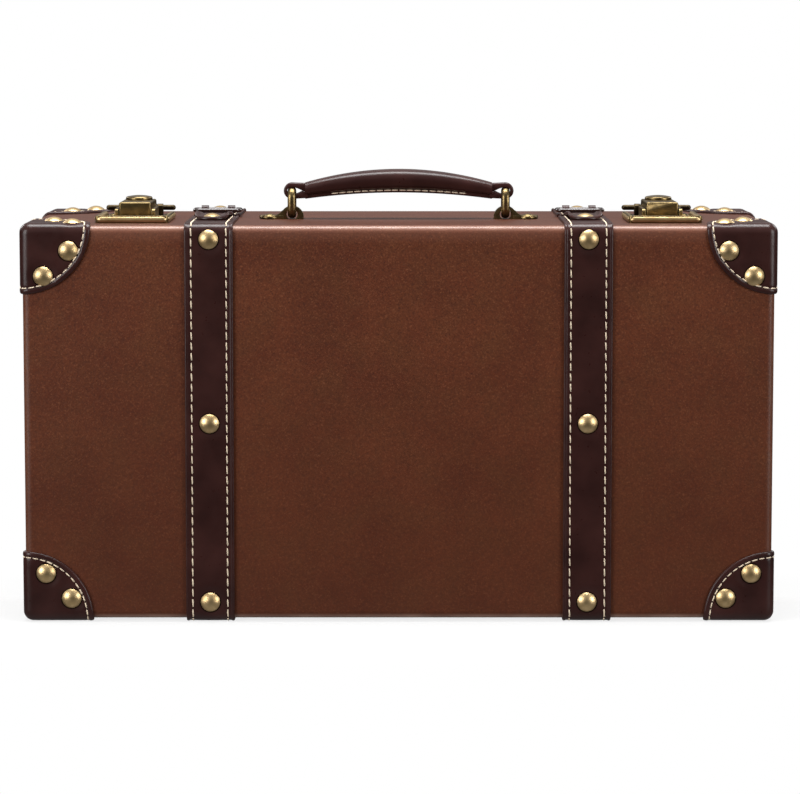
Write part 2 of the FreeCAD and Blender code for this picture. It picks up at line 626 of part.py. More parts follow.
def hasp(hand, sign):
    """Rounded block that swings on its rod, and the knob that is pushed into it."""
    x = f"({sign} * {LOCK_X})"
    body = doc.addObject("PartDesign::Body", f"hasp_{hand}")
    bar = add_box(body, f"hasp_block_{hand}", f"{x} - hasp_width / 2", "-hasp_front", HASP_FLOOR,
                  "hasp_width", "hasp_front + rod_place", "hasp_high")
    nose = -size("hasp_front")
    heel = size("rod_place")
    top = size("trim") + size("body_height") + size("lock_plate") + size("pad_high") + size("hasp_gap")
    top += size("hasp_high")
    back = add_fillet(body, f"hasp_back_{hand}", bar,
                      lambda at, way: abs(at.y - heel) < 0.01 and abs(at.z - top) < 0.01, "hasp_heel")
    add_fillet(body, f"hasp_edges_{hand}", back,
               lambda at, way: abs(at.y - nose) < 0.01 or (abs(at.z - top) < 0.01 and abs(way.y) > 0.9),
               "hasp_round")
    knuckle = body.newObject("PartDesign::AdditiveCylinder", f"hasp_knuckle_{hand}")
    bind(knuckle, Radius="hasp_knuckle", Height="hasp_width")
    place(knuckle, f"{x} - hasp_width / 2", "rod_place", ROD_Z, ALONG_X)
    bore = body.newObject("PartDesign::SubtractiveCylinder", f"hasp_bore_{hand}")
    bind(bore, Radius="rod_diameter / 2 + bar_clearance", Height="2 * hasp_width")
    place(bore, f"{x} - hasp_width", "rod_place", ROD_Z, ALONG_X)
    well = body.newObject("PartDesign::SubtractiveCylinder", f"hasp_well_{hand}")
    bind(well, Radius="knob_stem / 2 + stem_clearance", Height="3 * hasp_high")
    place(well, x, "-knob_place", f"{HASP_FLOOR} - hasp_high")
    recess = body.newObject("PartDesign::SubtractiveCylinder", f"hasp_recess_{hand}")
    bind(recess, Radius="knob_diameter / 2 + knob_rest", Height="hasp_high")
    place(recess, x, "-knob_place", f"{HASP_TOP} - knob_travel - 2 * knob_rest")
    keep(body)
    under = f"({HASP_TOP} - knob_rest)"
    stem = rod(f"knob_stem_{hand}", x, "-knob_place", f"{under} - knob_stem_long", "knob_stem / 2",
               "knob_stem_long")
    edge = rod(f"knob_edge_{hand}", x, "-knob_place", under, "knob_diameter / 2", "knob_edge")
    crown = dome(f"knob_crown_{hand}", "top", x, "-knob_place", f"({under} + knob_edge)",
                 "knob_diameter", "knob_rise")
    keep(fuse(f"lock_button_{hand}", [stem, edge, crown]))


lock_screws = []
keeper_screws = []
for hand, sign in SIDES.items():
    lock_screws += lock_plate(hand, sign)
    keeper_screws += keeper(hand, sign)
    hasp(hand, sign)
keep(together("lock_screws", lock_screws))
keep(together("hasp_plate_screws", keeper_screws))


# Hinges under the bottom edge

def leaf(half, hand, sign):
    """Hinge leaf with its knuckles: two on the front half, one between them on the lid."""
    depth, side = HALVES[half]
    name = f"{half}_hinge_{hand}"
    low = f"({sign} * hinge_place - hinge_length / 2)"
    near = "(knuckle_radius + knuckle_gap)"
    third = "(hinge_length / 3)"
    flat_y = "-hinge_leaf" if side < 0 else near
    pieces = [block(name + "_flat", low, flat_y, "trim - hinge_plate", "hinge_length",
                    f"hinge_leaf - {near}", "hinge_plate")]
    spans = ((low, third), (f"({low} + 2 * {third})", third))
    if half == "lid":
        spans = ((f"({low} + {third} + knuckle_gap)", f"({third} - 2 * knuckle_gap)"),)
    for number, (start, length) in enumerate(spans):
        pieces.append(block(f"{name}_arm_{number}", start, f"-{near}" if side < 0 else "0",
                            "trim - hinge_plate", length, near, "hinge_plate"))
        pieces.append(rod(f"{name}_knuckle_{number}", start, "0", "trim", "knuckle_radius", length,
                          ALONG_X))
    bore = rod(name + "_bore", f"{low} - hinge_length", "0", "trim", "pin_radius + bar_clearance",
               "3 * hinge_length", ALONG_X)
    keep(cut(name, fuse(name + "_solid", pieces), bore))


pins = []
for hand, sign in SIDES.items():
    for half in HALVES:
        leaf(half, hand, sign)
    pins.append(rod(f"hinge_pin_{hand}", f"{sign} * hinge_place - hinge_length / 2", "0", "trim",
                    "pin_radius", "hinge_length", ALONG_X))
keep(together("hinge_pins", pins))


# Check every object, then write one file for each sub-part

doc.recompute()
failed = [thing.Name for thing in doc.Objects if {"Invalid", "Error"} & set(thing.State)]
failed += [node.Name for node in nodes if node.Shape.isNull() or not node.Shape.isValid()]
if failed:
    raise RuntimeError("not built: " + ", ".join(failed))
os.makedirs("parts", exist_ok=True)
for node in nodes:
    node.Shape.exportStep(f"parts/{node.Label}.step")
print(len(nodes), "sub-parts,", sum(len(node.Shape.Solids) for node in nodes), "solids")
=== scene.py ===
# %% [markdown]
# A leather suitcase, dressed for its picture.
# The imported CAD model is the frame: it gives every solid its place and every body its movement.
# This lesson adds what a drawing of solids leaves out: grain, thread, rolled edges, padding and patina.

# %% Load the frame
import json
import math
import bmesh
import bpy
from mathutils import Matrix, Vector


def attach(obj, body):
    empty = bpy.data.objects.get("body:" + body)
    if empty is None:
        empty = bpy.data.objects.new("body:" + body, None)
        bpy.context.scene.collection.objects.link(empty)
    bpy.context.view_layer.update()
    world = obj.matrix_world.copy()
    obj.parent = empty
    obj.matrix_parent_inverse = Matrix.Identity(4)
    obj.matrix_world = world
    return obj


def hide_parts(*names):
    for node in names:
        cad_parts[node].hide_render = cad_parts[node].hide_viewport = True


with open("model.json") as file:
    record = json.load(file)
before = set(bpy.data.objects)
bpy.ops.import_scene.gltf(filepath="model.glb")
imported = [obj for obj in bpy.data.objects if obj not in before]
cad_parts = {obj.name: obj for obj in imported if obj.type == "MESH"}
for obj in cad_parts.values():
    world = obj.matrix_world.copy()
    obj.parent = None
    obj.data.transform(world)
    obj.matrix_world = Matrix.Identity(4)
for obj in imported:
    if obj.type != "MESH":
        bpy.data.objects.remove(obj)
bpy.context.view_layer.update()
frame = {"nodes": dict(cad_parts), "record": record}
scene = bpy.context.scene
BODY_OF = {node: body for body, nodes in frame["record"]["behaviour"]["bodies"].items() for node in nodes}

# %% [markdown]
# The sizes that the dressing shares with the solids, in millimetres as a maker would note them.
# Blender works in metres here, so MM turns one into the other wherever a point is made.

# %% Sizes
MM = 0.001
HALF_WIDTH = 300
DEPTH = 98
FLOOR_SIDE = 2.2
TOP_SIDE = 319.2
EDGE = 6
TRIM = 2.2
STRAP_X = 151.21
STRAP_END = 8
HANDLE_Y = -12
RING_X = 88
LOOP_Z = 342.5
HALVES = {"base": -1, "lid": 1}
HANDS = {"left": -1, "right": 1}
print("case", 2 * HALF_WIDTH, "by", 2 * DEPTH, "by", TOP_SIDE - FLOOR_SIDE, "mm")

# %% [markdown]
# Small helpers. A colour is written as a hex value, the way it looks on a screen, and becomes linear light here.
# One function adds a node, sets it and links it, so a tree reads from top to bottom like a recipe.


# %% Helpers for colours and nodes
def linear(code):
    """Hex colour, as seen on a screen, as linear light."""
    parts = [int(code[i:i + 2], 16) / 255 for i in (1, 3, 5)]
    return tuple(p / 12.92 if p <= 0.04045 else ((p + 0.055) / 1.055) ** 2.4 for p in parts) + (1.0,)


def feed(tree, socket, source):
    """Sets a socket to a plain value, or links it to an output or to a node's first live output."""
    if isinstance(source, bpy.types.Node):
        source = next(end for end in source.outputs if end.enabled)
    if isinstance(source, bpy.types.NodeSocket):
        tree.links.new(source, socket)
    else:
        socket.default_value = source


def add(tree, kind, inputs=None, **settings):
    """Adds a node with its settings and feeds its live inputs, by name or by number."""
    made = tree.nodes.new(kind)
    for name, value in settings.items():
        setattr(made, name, value)
    for key, source in (inputs or {}).items():
        live = [socket for socket in made.inputs if socket.enabled]
        feed(tree, live[key] if isinstance(key, int) else next(s for s in live if s.name == key), source)
    return made


def finish_named(name, **sockets):
    """New material whose shader sockets are set, with its tree, its shader and the Object coordinates."""
    made = bpy.data.materials.new(name)
    made.use_nodes = True
    tree = made.node_tree
    shader = tree.nodes["Principled BSDF"]
    for key, value in sockets.items():
        shader.inputs[key.replace("_", " ")].default_value = value
    return made, tree, shader, add(tree, "ShaderNodeTexCoord").outputs["Object"]


# %% [markdown]
# The camera comes first, because everything is compared through it.
# Its place was fitted to the edges of the body in the photograph: a long lens, a little above the top of the case.

# %% Camera
PICTURE_WIDE = 800
LENS_PIXELS = 2745.2
CAMERA_AT = Vector((1.1, -2274.8, 462.4))
CAMERA_DOWN = 5.004
CAMERA_SHIFT = -0.14
camera = bpy.data.cameras.new("camera")
camera.lens = LENS_PIXELS * camera.sensor_width / PICTURE_WIDE
camera.shift_y = CAMERA_SHIFT
camera_object = bpy.data.objects.new("camera", camera)
camera_object.location = CAMERA_AT * MM
camera_object.rotation_euler = (math.radians(90 - CAMERA_DOWN), 0, 0)
scene.collection.objects.link(camera_object)
scene.camera = camera_object
print("lens", round(camera.lens, 1), "mm")

# %% [markdown]
# Light: two tall soft boxes on the left and on the right of the camera, and a wide one overhead.
# They give each brass dome its two highlights and keep the leather's colour about as it is written.
# Two strips beside the case draw a line of light along its upright edges.

# %% Lights
scene.view_settings.view_transform = "Standard"


def soft_box(name, place, aim, wide, high, watts):
    """Rectangular area light that faces a point."""
    lamp = bpy.data.lights.new(name, "AREA")
    lamp.shape = "RECTANGLE"
    lamp.size = wide
    lamp.size_y = high
    lamp.energy = watts
    holder = bpy.data.objects.new(name, lamp)
    holder.location = place
    holder.rotation_euler = (Vector(aim) - Vector(place)).to_track_quat("-Z", "Y").to_euler()
    scene.collection.objects.link(holder)


soft_box("soft_box_left", (-1.9, -1.75, 0.85), (0, 0, 0.18), 1.0, 1.4, 40)
soft_box("soft_box_right", (2.0, -1.6, 0.8), (0, 0, 0.18), 0.8, 1.4, 28)
soft_box("soft_box_top", (0, -0.1, 2.05), (0, -0.02, 0.3), 1.5, 0.8, 66)
soft_box("strip_left", (-2.1, -1.1, 0.4), (0, -0.05, 0.2), 0.6, 1.1, 8)
soft_box("strip_right", (2.1, -1.1, 0.4), (0, -0.05, 0.2), 0.6, 1.1, 8)
soft_box("soft_box_back_left", (-2.0, 1.9, 1.5), (0, 0, 0.18), 0.9, 0.9, 14)
soft_box("soft_box_back_right", (2.0, 1.9, 1.5), (0, 0, 0.18), 0.9, 0.9, 14)
print("lights", len(bpy.data.lights))

# %% [markdown]
# The room is white for the camera, bright above the horizon behind the case and dimmer on the camera's side,
# so metal and polished leather mirror a backdrop while the colours of the front stay deep.

# %% Room
room = bpy.data.worlds.new("room")
room.use_nodes = True
scene.world = room
tree = room.node_tree
way = add(tree, "ShaderNodeTexCoord").outputs["Generated"]
aim = add(tree, "ShaderNodeSeparateXYZ", {0: way}).outputs
sky = add(tree, "ShaderNodeMapRange", {"Value": aim["Z"], "From Min": 0.08, "From Max": 0.42, "To Min": 0.03,
                                       "To Max": 0.75})
behind = add(tree, "ShaderNodeMapRange", {"Value": aim["Y"], "From Min": -0.5, "From Max": 0.4, "To Min": 0.35,
                                          "To Max": 0.8})
sky = add(tree, "ShaderNodeMath", {0: sky, 1: behind}, operation="MULTIPLY")
under = add(tree, "ShaderNodeMapRange", {"Value": aim["Z"], "From Min": -0.3, "From Max": -0.8, "To Max": 0.3})
sky = add(tree, "ShaderNodeMath", {0: sky, 1: under}, operation="ADD")
rays = add(tree, "ShaderNodeLightPath").outputs
soft = add(tree, "ShaderNodeMath", {0: sky, 1: 0.6}, operation="MULTIPLY")
mirror = add(tree, "ShaderNodeMath", {0: rays["Is Glossy Ray"], 1: rays["Is Transmission Ray"]},
             operation="MAXIMUM")
level = add(tree, "ShaderNodeMix", {"Factor": mirror, "A": soft, "B": sky})
level = add(tree, "ShaderNodeMix", {"Factor": rays["Is Camera Ray"], "A": level, "B": 1.0})
feed(tree, tree.nodes["Background"].inputs["Strength"], level)
tree.nodes["Background"].inputs["Color"].default_value = (1, 1, 1, 1)
print("world", room.name)

# %% [markdown]
# The floor is a pale film that fades out a hand's width from the case. A solid floor would hide a lid that hangs
# below its level. The film keeps the contact shadow and lets such a lid show through, so it is thinner on that side.

# %% Floor
FLOOR_REACH = 0.18
FILM = 0.26
BEHIND_SHARE = 0.3
floor_mesh = bpy.data.meshes.new("floor")
wide, deep = HALF_WIDTH * MM + FLOOR_REACH, DEPTH * MM + FLOOR_REACH
floor_mesh.from_pydata([(-wide, -deep, 0), (wide, -deep, 0), (wide, deep, 0), (-wide, deep, 0)], [],
                       [(0, 1, 2, 3)])
floor = bpy.data.objects.new("floor", floor_mesh)
floor.location.z = -0.3 * MM
scene.collection.objects.link(floor)
pale, tree, shader, place = finish_named("pale_floor", Roughness=0.9, Base_Color=(0.74, 0.74, 0.74, 1))
away = add(tree, "ShaderNodeVectorMath", {0: place}, operation="ABSOLUTE")
away = add(tree, "ShaderNodeVectorMath", {0: away, 1: (HALF_WIDTH * MM, DEPTH * MM, 0)}, operation="SUBTRACT")
away = add(tree, "ShaderNodeVectorMath", {0: away, 1: (0, 0, 0)}, operation="MAXIMUM")
away = add(tree, "ShaderNodeVectorMath", {0: away}, operation="LENGTH").outputs["Value"]
film = add(tree, "ShaderNodeMapRange", {"Value": away, "From Min": 0.01, "From Max": FLOOR_REACH * 0.9,
                                        "To Min": FILM, "To Max": 0.0}, interpolation_type="SMOOTHSTEP")
side = add(tree, "ShaderNodeSeparateXYZ", {"Vector": place}).outputs["Y"]
side = add(tree, "ShaderNodeMapRange", {"Value": side, "From Min": -20 * MM, "From Max": 5 * MM, "To Min": 1.0,
                                        "To Max": BEHIND_SHARE})
film = add(tree, "ShaderNodeMath", {0: film, 1: side}, operation="MULTIPLY")
rays = add(tree, "ShaderNodeLightPath").outputs
seen = add(tree, "ShaderNodeMath", {0: rays["Is Camera Ray"], 1: rays["Is Transmission Ray"]},
           operation="MAXIMUM")
bright = add(tree, "ShaderNodeMath", {0: rays["Is Glossy Ray"], 1: 0.4, 2: seen}, operation="MULTIPLY_ADD")
share = add(tree, "ShaderNodeMath", {0: bright, 1: 0.15}, operation="MULTIPLY")
weight = add(tree, "ShaderNodeMapRange", {"Value": bright, "To Min": 0.25})
film = add(tree, "ShaderNodeMath", {0: film, 1: weight}, operation="MULTIPLY")
glow = add(tree, "ShaderNodeEmission", {"Color": (1, 1, 1, 1), "Strength": 1.0})
both = add(tree, "ShaderNodeMixShader", {0: share, 1: shader, 2: glow})
clear = add(tree, "ShaderNodeBsdfTransparent")
both = add(tree, "ShaderNodeMixShader", {0: film, 1: clear, 2: both})
feed(tree, tree.nodes["Material Output"].inputs["Surface"], both)
floor_mesh.materials.append(pale)
print("floor reaches", FLOOR_REACH, "m past the case")

# %% [markdown]
# Body leather: cowhide, dyed brown, pressed with a fine pebble grain and wiped with wax.
# The eye sees pebbles of about two millimetres, a cloudy change between red brown and olive brown, a soft sheen,
# and a paler rub along the edges, partly wear and partly a painted highlight. A picture of leather could be wrapped
# round the case, but it brings its own light and a fixed size. Here the grain is a Voronoi pattern in Object
# coordinates, so it has real sizes and never slides.

# %% Body leather
PEBBLE = 2.0
cowhide, tree, shader, place = finish_named("pebbled_cowhide", Roughness=0.5, IOR=1.48, Specular_IOR_Level=0.3)
bent = add(tree, "ShaderNodeTexNoise", {"Vector": place, "Scale": 1 / (6 * MM), "Detail": 2.0})
crooked = add(tree, "ShaderNodeVectorMath", {0: bent.outputs["Color"], 1: (0.5, 0.5, 0.5)}, operation="SUBTRACT")
crooked = add(tree, "ShaderNodeVectorMath", {0: crooked, "Scale": 1.6 * MM}, operation="SCALE")
crooked = add(tree, "ShaderNodeVectorMath", {0: place, 1: crooked})
pebbles = add(tree, "ShaderNodeTexVoronoi", {"Vector": crooked, "Scale": 1 / (PEBBLE * MM)},
              feature="SMOOTH_F1")
pores = add(tree, "ShaderNodeTexNoise", {"Vector": place, "Scale": 1 / (0.9 * MM), "Detail": 4.0,
                                         "Roughness": 0.6})
cloud = add(tree, "ShaderNodeTexNoise", {"Vector": place, "Scale": 1 / (70 * MM), "Detail": 5.0,
                                         "Roughness": 0.62})
cast = add(tree, "ShaderNodeTexNoise", {"Vector": place, "Scale": 1 / (26 * MM), "Detail": 3.0})
dye = add(tree, "ShaderNodeValToRGB", {"Fac": cloud})
dye.color_ramp.elements[0].position = 0.32
dye.color_ramp.elements[0].color = linear("#532512")
dye.color_ramp.elements[1].position = 0.68
dye.color_ramp.elements[1].color = linear("#63311a")
olive = add(tree, "ShaderNodeMapRange", {"Value": cast, "From Min": 0.42, "From Max": 0.72, "To Max": 0.45})
tone = add(tree, "ShaderNodeMix", {"Factor": olive, "A": dye, "B": linear("#5a331a")}, data_type="RGBA")
print("pebbles of", PEBBLE, "mm")

# %% [markdown]
# The wax leaves lighter and darker flecks, stronger towards the top: that growth is painted light, for grain that
# shows more where light rakes. Towards the floor the hide is painted darker, a painted shade. The hollows between the
# pebbles are darker. Each change is a mix towards one more colour, by a mask.

# %% Body leather: flecks, valleys, painted light and painted shade
flecks = add(tree, "ShaderNodeTexNoise", {"Vector": place, "Scale": 1 / (1.3 * MM), "Detail": 3.0,
                                          "Roughness": 0.7})
parts = add(tree, "ShaderNodeSeparateXYZ", {0: place})
# Painted light: the flecks grow stronger towards the top.
flecks_painted_light_by_height = add(tree, "ShaderNodeMapRange", {"Value": parts.outputs["Z"], "From Min": 60 * MM, "From Max": TOP_SIDE * MM,
                                       "To Min": 0.4, "To Max": 1.0})
# Painted shade: darker towards the floor.
painted_floor_shade = add(tree, "ShaderNodeMapRange", {"Value": parts.outputs["Z"], "From Min": 220 * MM, "From Max": 0.0,
                                          "To Max": 0.42})
tone = add(tree, "ShaderNodeMix", {"Factor": painted_floor_shade, "A": tone, "B": linear("#3f1c0e")}, data_type="RGBA")
for begin, end, code in ((0.55, 0.74, "#7f4d33"), (0.45, 0.28, "#36180e")):
    spots = add(tree, "ShaderNodeMapRange", {"Value": flecks, "From Min": begin, "From Max": end, "To Max": flecks_painted_light_by_height})
    tone = add(tree, "ShaderNodeMix", {"Factor": spots, "A": tone, "B": linear(code)}, data_type="RGBA")
valley = add(tree, "ShaderNodeMapRange", {"Value": pebbles, "From Min": 0.25, "From Max": 0.75, "To Max": 0.30})
tone = add(tree, "ShaderNodeMix", {"Factor": valley, "A": tone, "B": linear("#3a1e13")}, data_type="RGBA")
print("nodes so far", len(tree.nodes))

# %% [markdown]
# Edges wear first. The paler rub along them is partly that wear and partly a painted highlight, made strongest along
# the top and bottom edges. A lighter band under the top edge of the front and back faces is a painted highlight too,
# and the top face is darkened, a painted shade. The distance to the nearest edge of the box is the middle one of the
# distances to its three pairs of faces, so it can be reckoned from Object coordinates alone. Painting a mask by hand
# would also do, but would not follow a change of size.

# %% Body leather: rubbed edges, painted highlights and painted top shade
reach = []
for letter, middle, half in (("X", 0, HALF_WIDTH), ("Y", 0, DEPTH), ("Z", (FLOOR_SIDE + TOP_SIDE) / 2,
                                                                     (TOP_SIDE - FLOOR_SIDE) / 2)):
    off = add(tree, "ShaderNodeMath", {0: parts.outputs[letter], 1: middle * MM}, operation="SUBTRACT")
    off = add(tree, "ShaderNodeMath", {0: off}, operation="ABSOLUTE")
    off = add(tree, "ShaderNodeMath", {0: half * MM, 1: off}, operation="SUBTRACT")
    reach.append(off)
low = add(tree, "ShaderNodeMath", {0: reach[0], 1: reach[1]}, operation="MINIMUM")
high = add(tree, "ShaderNodeMath", {0: reach[0], 1: reach[1]}, operation="MAXIMUM")
high = add(tree, "ShaderNodeMath", {0: high, 1: reach[2]}, operation="MINIMUM")
to_edge = add(tree, "ShaderNodeMath", {0: low, 1: high}, operation="MAXIMUM")
# Painted highlight, partly wear: paler colour near every edge, boosted along the top and bottom edges.
wear_and_painted_highlight = add(tree, "ShaderNodeMapRange", {"Value": to_edge, "From Min": 5 * MM, "From Max": 0.8 * MM,
                                       "To Max": 1.0}, interpolation_type="SMOOTHSTEP")
wear_and_painted_highlight_boost = add(tree, "ShaderNodeMapRange", {"Value": reach[2], "From Min": 10 * MM, "From Max": 1 * MM, "To Min": 0.3,
                                           "To Max": 1.4})
wear_and_painted_highlight = add(tree, "ShaderNodeMath", {0: wear_and_painted_highlight, 1: cast}, operation="MULTIPLY")
wear_and_painted_highlight = add(tree, "ShaderNodeMath", {0: wear_and_painted_highlight, 1: wear_and_painted_highlight_boost}, operation="MULTIPLY")
tone = add(tree, "ShaderNodeMix", {"Factor": wear_and_painted_highlight, "A": tone, "B": linear("#b28e7d")}, data_type="RGBA")
# Painted highlight: a lighter band just under the top edge of the front and back faces.
painted_brow_highlight = add(tree, "ShaderNodeMapRange", {"Value": parts.outputs["Z"], "From Min": (TOP_SIDE - 16) * MM,
                                        "From Max": (TOP_SIDE - 4) * MM, "To Max": 0.3},
           interpolation_type="SMOOTHSTEP")
face = add(tree, "ShaderNodeMapRange", {"Value": reach[1], "From Min": 8 * MM, "From Max": 3 * MM})
painted_brow_highlight = add(tree, "ShaderNodeMath", {0: painted_brow_highlight, 1: face}, operation="MULTIPLY")
tone = add(tree, "ShaderNodeMix", {"Factor": painted_brow_highlight, "A": tone, "B": linear("#865a4a")}, data_type="RGBA")
# Painted shade: the top face is darkened.
painted_top_shade = add(tree, "ShaderNodeMapRange", {"Value": parts.outputs["Z"], "From Min": (TOP_SIDE - 1) * MM,
                                         "From Max": TOP_SIDE * MM, "To Max": 0.45})
tone = add(tree, "ShaderNodeMix", {"Factor": painted_top_shade, "A": tone, "B": linear("#2a140c")}, data_type="RGBA")
feed(tree, shader.inputs["Base Color"], tone)
print("nodes so far", len(tree.nodes))

# %% Body leather: sheen and relief
gloss = add(tree, "ShaderNodeMapRange", {"Value": pores, "To Min": 0.40, "To Max": 0.58})
polish = add(tree, "ShaderNodeMapRange", {"Value": to_edge, "From Min": 0.5 * MM, "From Max": 4.5 * MM,
                                          "To Min": 0.36, "To Max": 1.0}, interpolation_type="SMOOTHSTEP")
gloss = add(tree, "ShaderNodeMath", {0: gloss, 1: polish}, operation="MULTIPLY")
feed(tree, shader.inputs["Roughness"], gloss)
grain = add(tree, "ShaderNodeMix", {"Factor": 0.35, "A": pebbles, "B": pores})
depth = add(tree, "ShaderNodeMapRange", {"Value": to_edge, "From Min": 1 * MM, "From Max": 6 * MM,
                                         "To Min": 0.12, "To Max": 0.75}, interpolation_type="SMOOTHSTEP")
relief = add(tree, "ShaderNodeBump", {"Height": grain, "Strength": depth, "Distance": 0.2 * MM}, invert=True)
feed(tree, shader.inputs["Normal"], relief)
print("material", cowhide.name)

# %% [markdown]
# Trim leather: smoother calf, dyed nearly black with a wine cast and burnished, so it shines more than the body.
# The body's grain at a smaller size would be quicker, but burnishing presses grain flat, so clouds of dye and faint
# creases carry it. Its pores are finer than a picture dot and are drawn at 0.7 millimetres to show at all.

# %% Trim leather
calf, tree, shader, place = finish_named("burnished_calf", Roughness=0.28, IOR=1.5, Specular_IOR_Level=0.27)
cloud = add(tree, "ShaderNodeTexNoise", {"Vector": place, "Scale": 1 / (34 * MM), "Detail": 4.0})
pores = add(tree, "ShaderNodeTexVoronoi", {"Vector": place, "Scale": 1 / (0.7 * MM)}, feature="SMOOTH_F1")
creases = add(tree, "ShaderNodeTexNoise", {"Vector": place, "Scale": 1 / (5 * MM), "Detail": 4.0, "Roughness": 0.6})
dye = add(tree, "ShaderNodeValToRGB", {"Fac": cloud})
dye.color_ramp.elements[0].position = 0.3
dye.color_ramp.elements[0].color = linear("#291513")
dye.color_ramp.elements[1].position = 0.7
dye.color_ramp.elements[1].color = linear("#3b211e")
feed(tree, shader.inputs["Base Color"], dye)
gloss = add(tree, "ShaderNodeMapRange", {"Value": creases, "To Min": 0.22, "To Max": 0.38})
feed(tree, shader.inputs["Roughness"], gloss)
grain = add(tree, "ShaderNodeMix", {"Factor": 0.7, "A": pores, "B": creases})
relief = add(tree, "ShaderNodeBump", {"Height": grain, "Strength": 0.1, "Distance": 0.2 * MM})
feed(tree, shader.inputs["Normal"], relief)
print("material", calf.name)

# %% [markdown]
# Thread is waxed linen: cream, dull, with a fine twist. Modelled plies would cost many faces on every stitch, so a
# soft noise of about a millimetre, coarser than the real twist so that it shows, stands for it.

# %% Thread
linen, tree, shader, place = finish_named("waxed_linen_thread", Roughness=0.62, Specular_IOR_Level=0.35)
twist = add(tree, "ShaderNodeTexNoise", {"Vector": place, "Scale": 1 / (1.1 * MM), "Detail": 2.0})
shade = add(tree, "ShaderNodeMix", {"Factor": twist, "A": linear("#d3bb9b"), "B": linear("#f4e4cd")}, data_type="RGBA")
feed(tree, shader.inputs["Base Color"], shade)
relief = add(tree, "ShaderNodeBump", {"Height": twist, "Strength": 0.5, "Distance": 0.3 * MM})
feed(tree, shader.inputs["Normal"], relief)
print("material", linen.name)

# %% [markdown]
# Hardware: brass with an antique patina. The metal keeps the default IOR; its warm colour breaks into darker,
# rougher spots where the lacquer has worn, and a painted shade darkens a stud's rim where it meets the leather, which
# the attribute "rim" marks. The clasps are darker from handling. The buckles are steel under dark brown lacquer.
# The bare metals differ only in colours, roughness and stains, so one function makes them all.

# %% Metals
def patina(name, bright, dark, rough, spot, pitted):
    """Metal with darker, rougher stains of the given size, and pits of the given strength."""
    made, tree, shader, place = finish_named(name, Metallic=1.0)
    stain = add(tree, "ShaderNodeTexNoise", {"Vector": place, "Scale": 1 / (spot * MM), "Detail": 5.0,
                                             "Roughness": 0.6})
    speck = add(tree, "ShaderNodeTexNoise", {"Vector": place, "Scale": 1 / (0.8 * MM), "Detail": 2.0})
    bare = add(tree, "ShaderNodeMapRange", {"Value": stain, "From Min": 0.38, "From Max": 0.72})
    shade = add(tree, "ShaderNodeMix", {"Factor": bare, "A": linear(bright), "B": linear(dark)}, data_type="RGBA")
    # Painted shade: a dark ring where a stud's rim meets the leather, as marked by the attribute rim.
    painted_rim_shade = add(tree, "ShaderNodeAttribute", attribute_name="rim").outputs["Fac"]
    shade = add(tree, "ShaderNodeMix", {"Factor": painted_rim_shade, "A": shade, "B": linear("#1d1410")}, data_type="RGBA")
    feed(tree, shader.inputs["Base Color"], shade)
    dull = add(tree, "ShaderNodeMapRange", {"Value": stain, "To Min": rough, "To Max": rough + 0.16})
    feed(tree, shader.inputs["Roughness"], dull)
    relief = add(tree, "ShaderNodeBump", {"Height": speck, "Strength": pitted, "Distance": 0.2 * MM})
    feed(tree, shader.inputs["Normal"], relief)
    print("material", name)
    return made


brass = patina("antique_brass", "#cdb285", "#a88d62", 0.31, 9, 0.08)
worn = patina("worn_brass", "#85724d", "#4d412c", 0.25, 7, 0.02)
bronze = patina("darkened_brass", "#463c2b", "#29231b", 0.25, 6, 0.03)
steel = patina("blackened_steel", "#4a4240", "#2b2523", 0.28, 6, 0.05)
lacquer, tree, shader, place = finish_named("japanned_steel", Roughness=0.27, Specular_IOR_Level=0.5, Coat_Weight=1.0,
                                            Coat_Roughness=0.12)
wear = add(tree, "ShaderNodeTexNoise", {"Vector": place, "Scale": 1 / (4 * MM), "Detail": 4.0})
shade = add(tree, "ShaderNodeMix", {"Factor": wear, "A": linear("#1c0e0c"), "B": linear("#2e1713")}, data_type="RGBA")
feed(tree, shader.inputs["Base Color"], shade)
print("material", lacquer.name)

# %% [markdown]
# Inside: twill lining in a warm tan, a beech rim with fine long grain, and grey board that shows only at the split.
# A picture of cloth would need a UV map. A wave pattern turned on the slant gives the ribs of twill without one. Real
# ribs are finer than a picture dot, so these are drawn about four millimetres wide.

# %% Lining
RIB = 4.3425
WAVE_RADIANS = 20
twill, tree, shader, place = finish_named("cotton_twill", Roughness=0.85, Specular_IOR_Level=0.25, Sheen_Weight=0.25)
slanted = add(tree, "ShaderNodeMapping", {"Vector": place, "Rotation": (0.6, 0.35, 0.5)}).outputs["Vector"]
bands = 2 * math.pi / WAVE_RADIANS / (RIB * MM)
ribs = add(tree, "ShaderNodeTexWave", {"Vector": slanted, "Scale": bands, "Distortion": 0.6},
           bands_direction="X")
slub = add(tree, "ShaderNodeTexNoise", {"Vector": place, "Scale": 1 / (14 * MM), "Detail": 4.0})
shade = add(tree, "ShaderNodeMix", {"Factor": ribs, "A": linear("#8b6f50"), "B": linear("#a98b68")}, data_type="RGBA")
shade = add(tree, "ShaderNodeMix", {"Factor": slub, "A": shade, "B": linear("#977a58")}, data_type="RGBA")
feed(tree, shader.inputs["Base Color"], shade)
relief = add(tree, "ShaderNodeBump", {"Height": ribs, "Strength": 0.35, "Distance": 0.3 * MM})
feed(tree, shader.inputs["Normal"], relief)
print("material", twill.name)

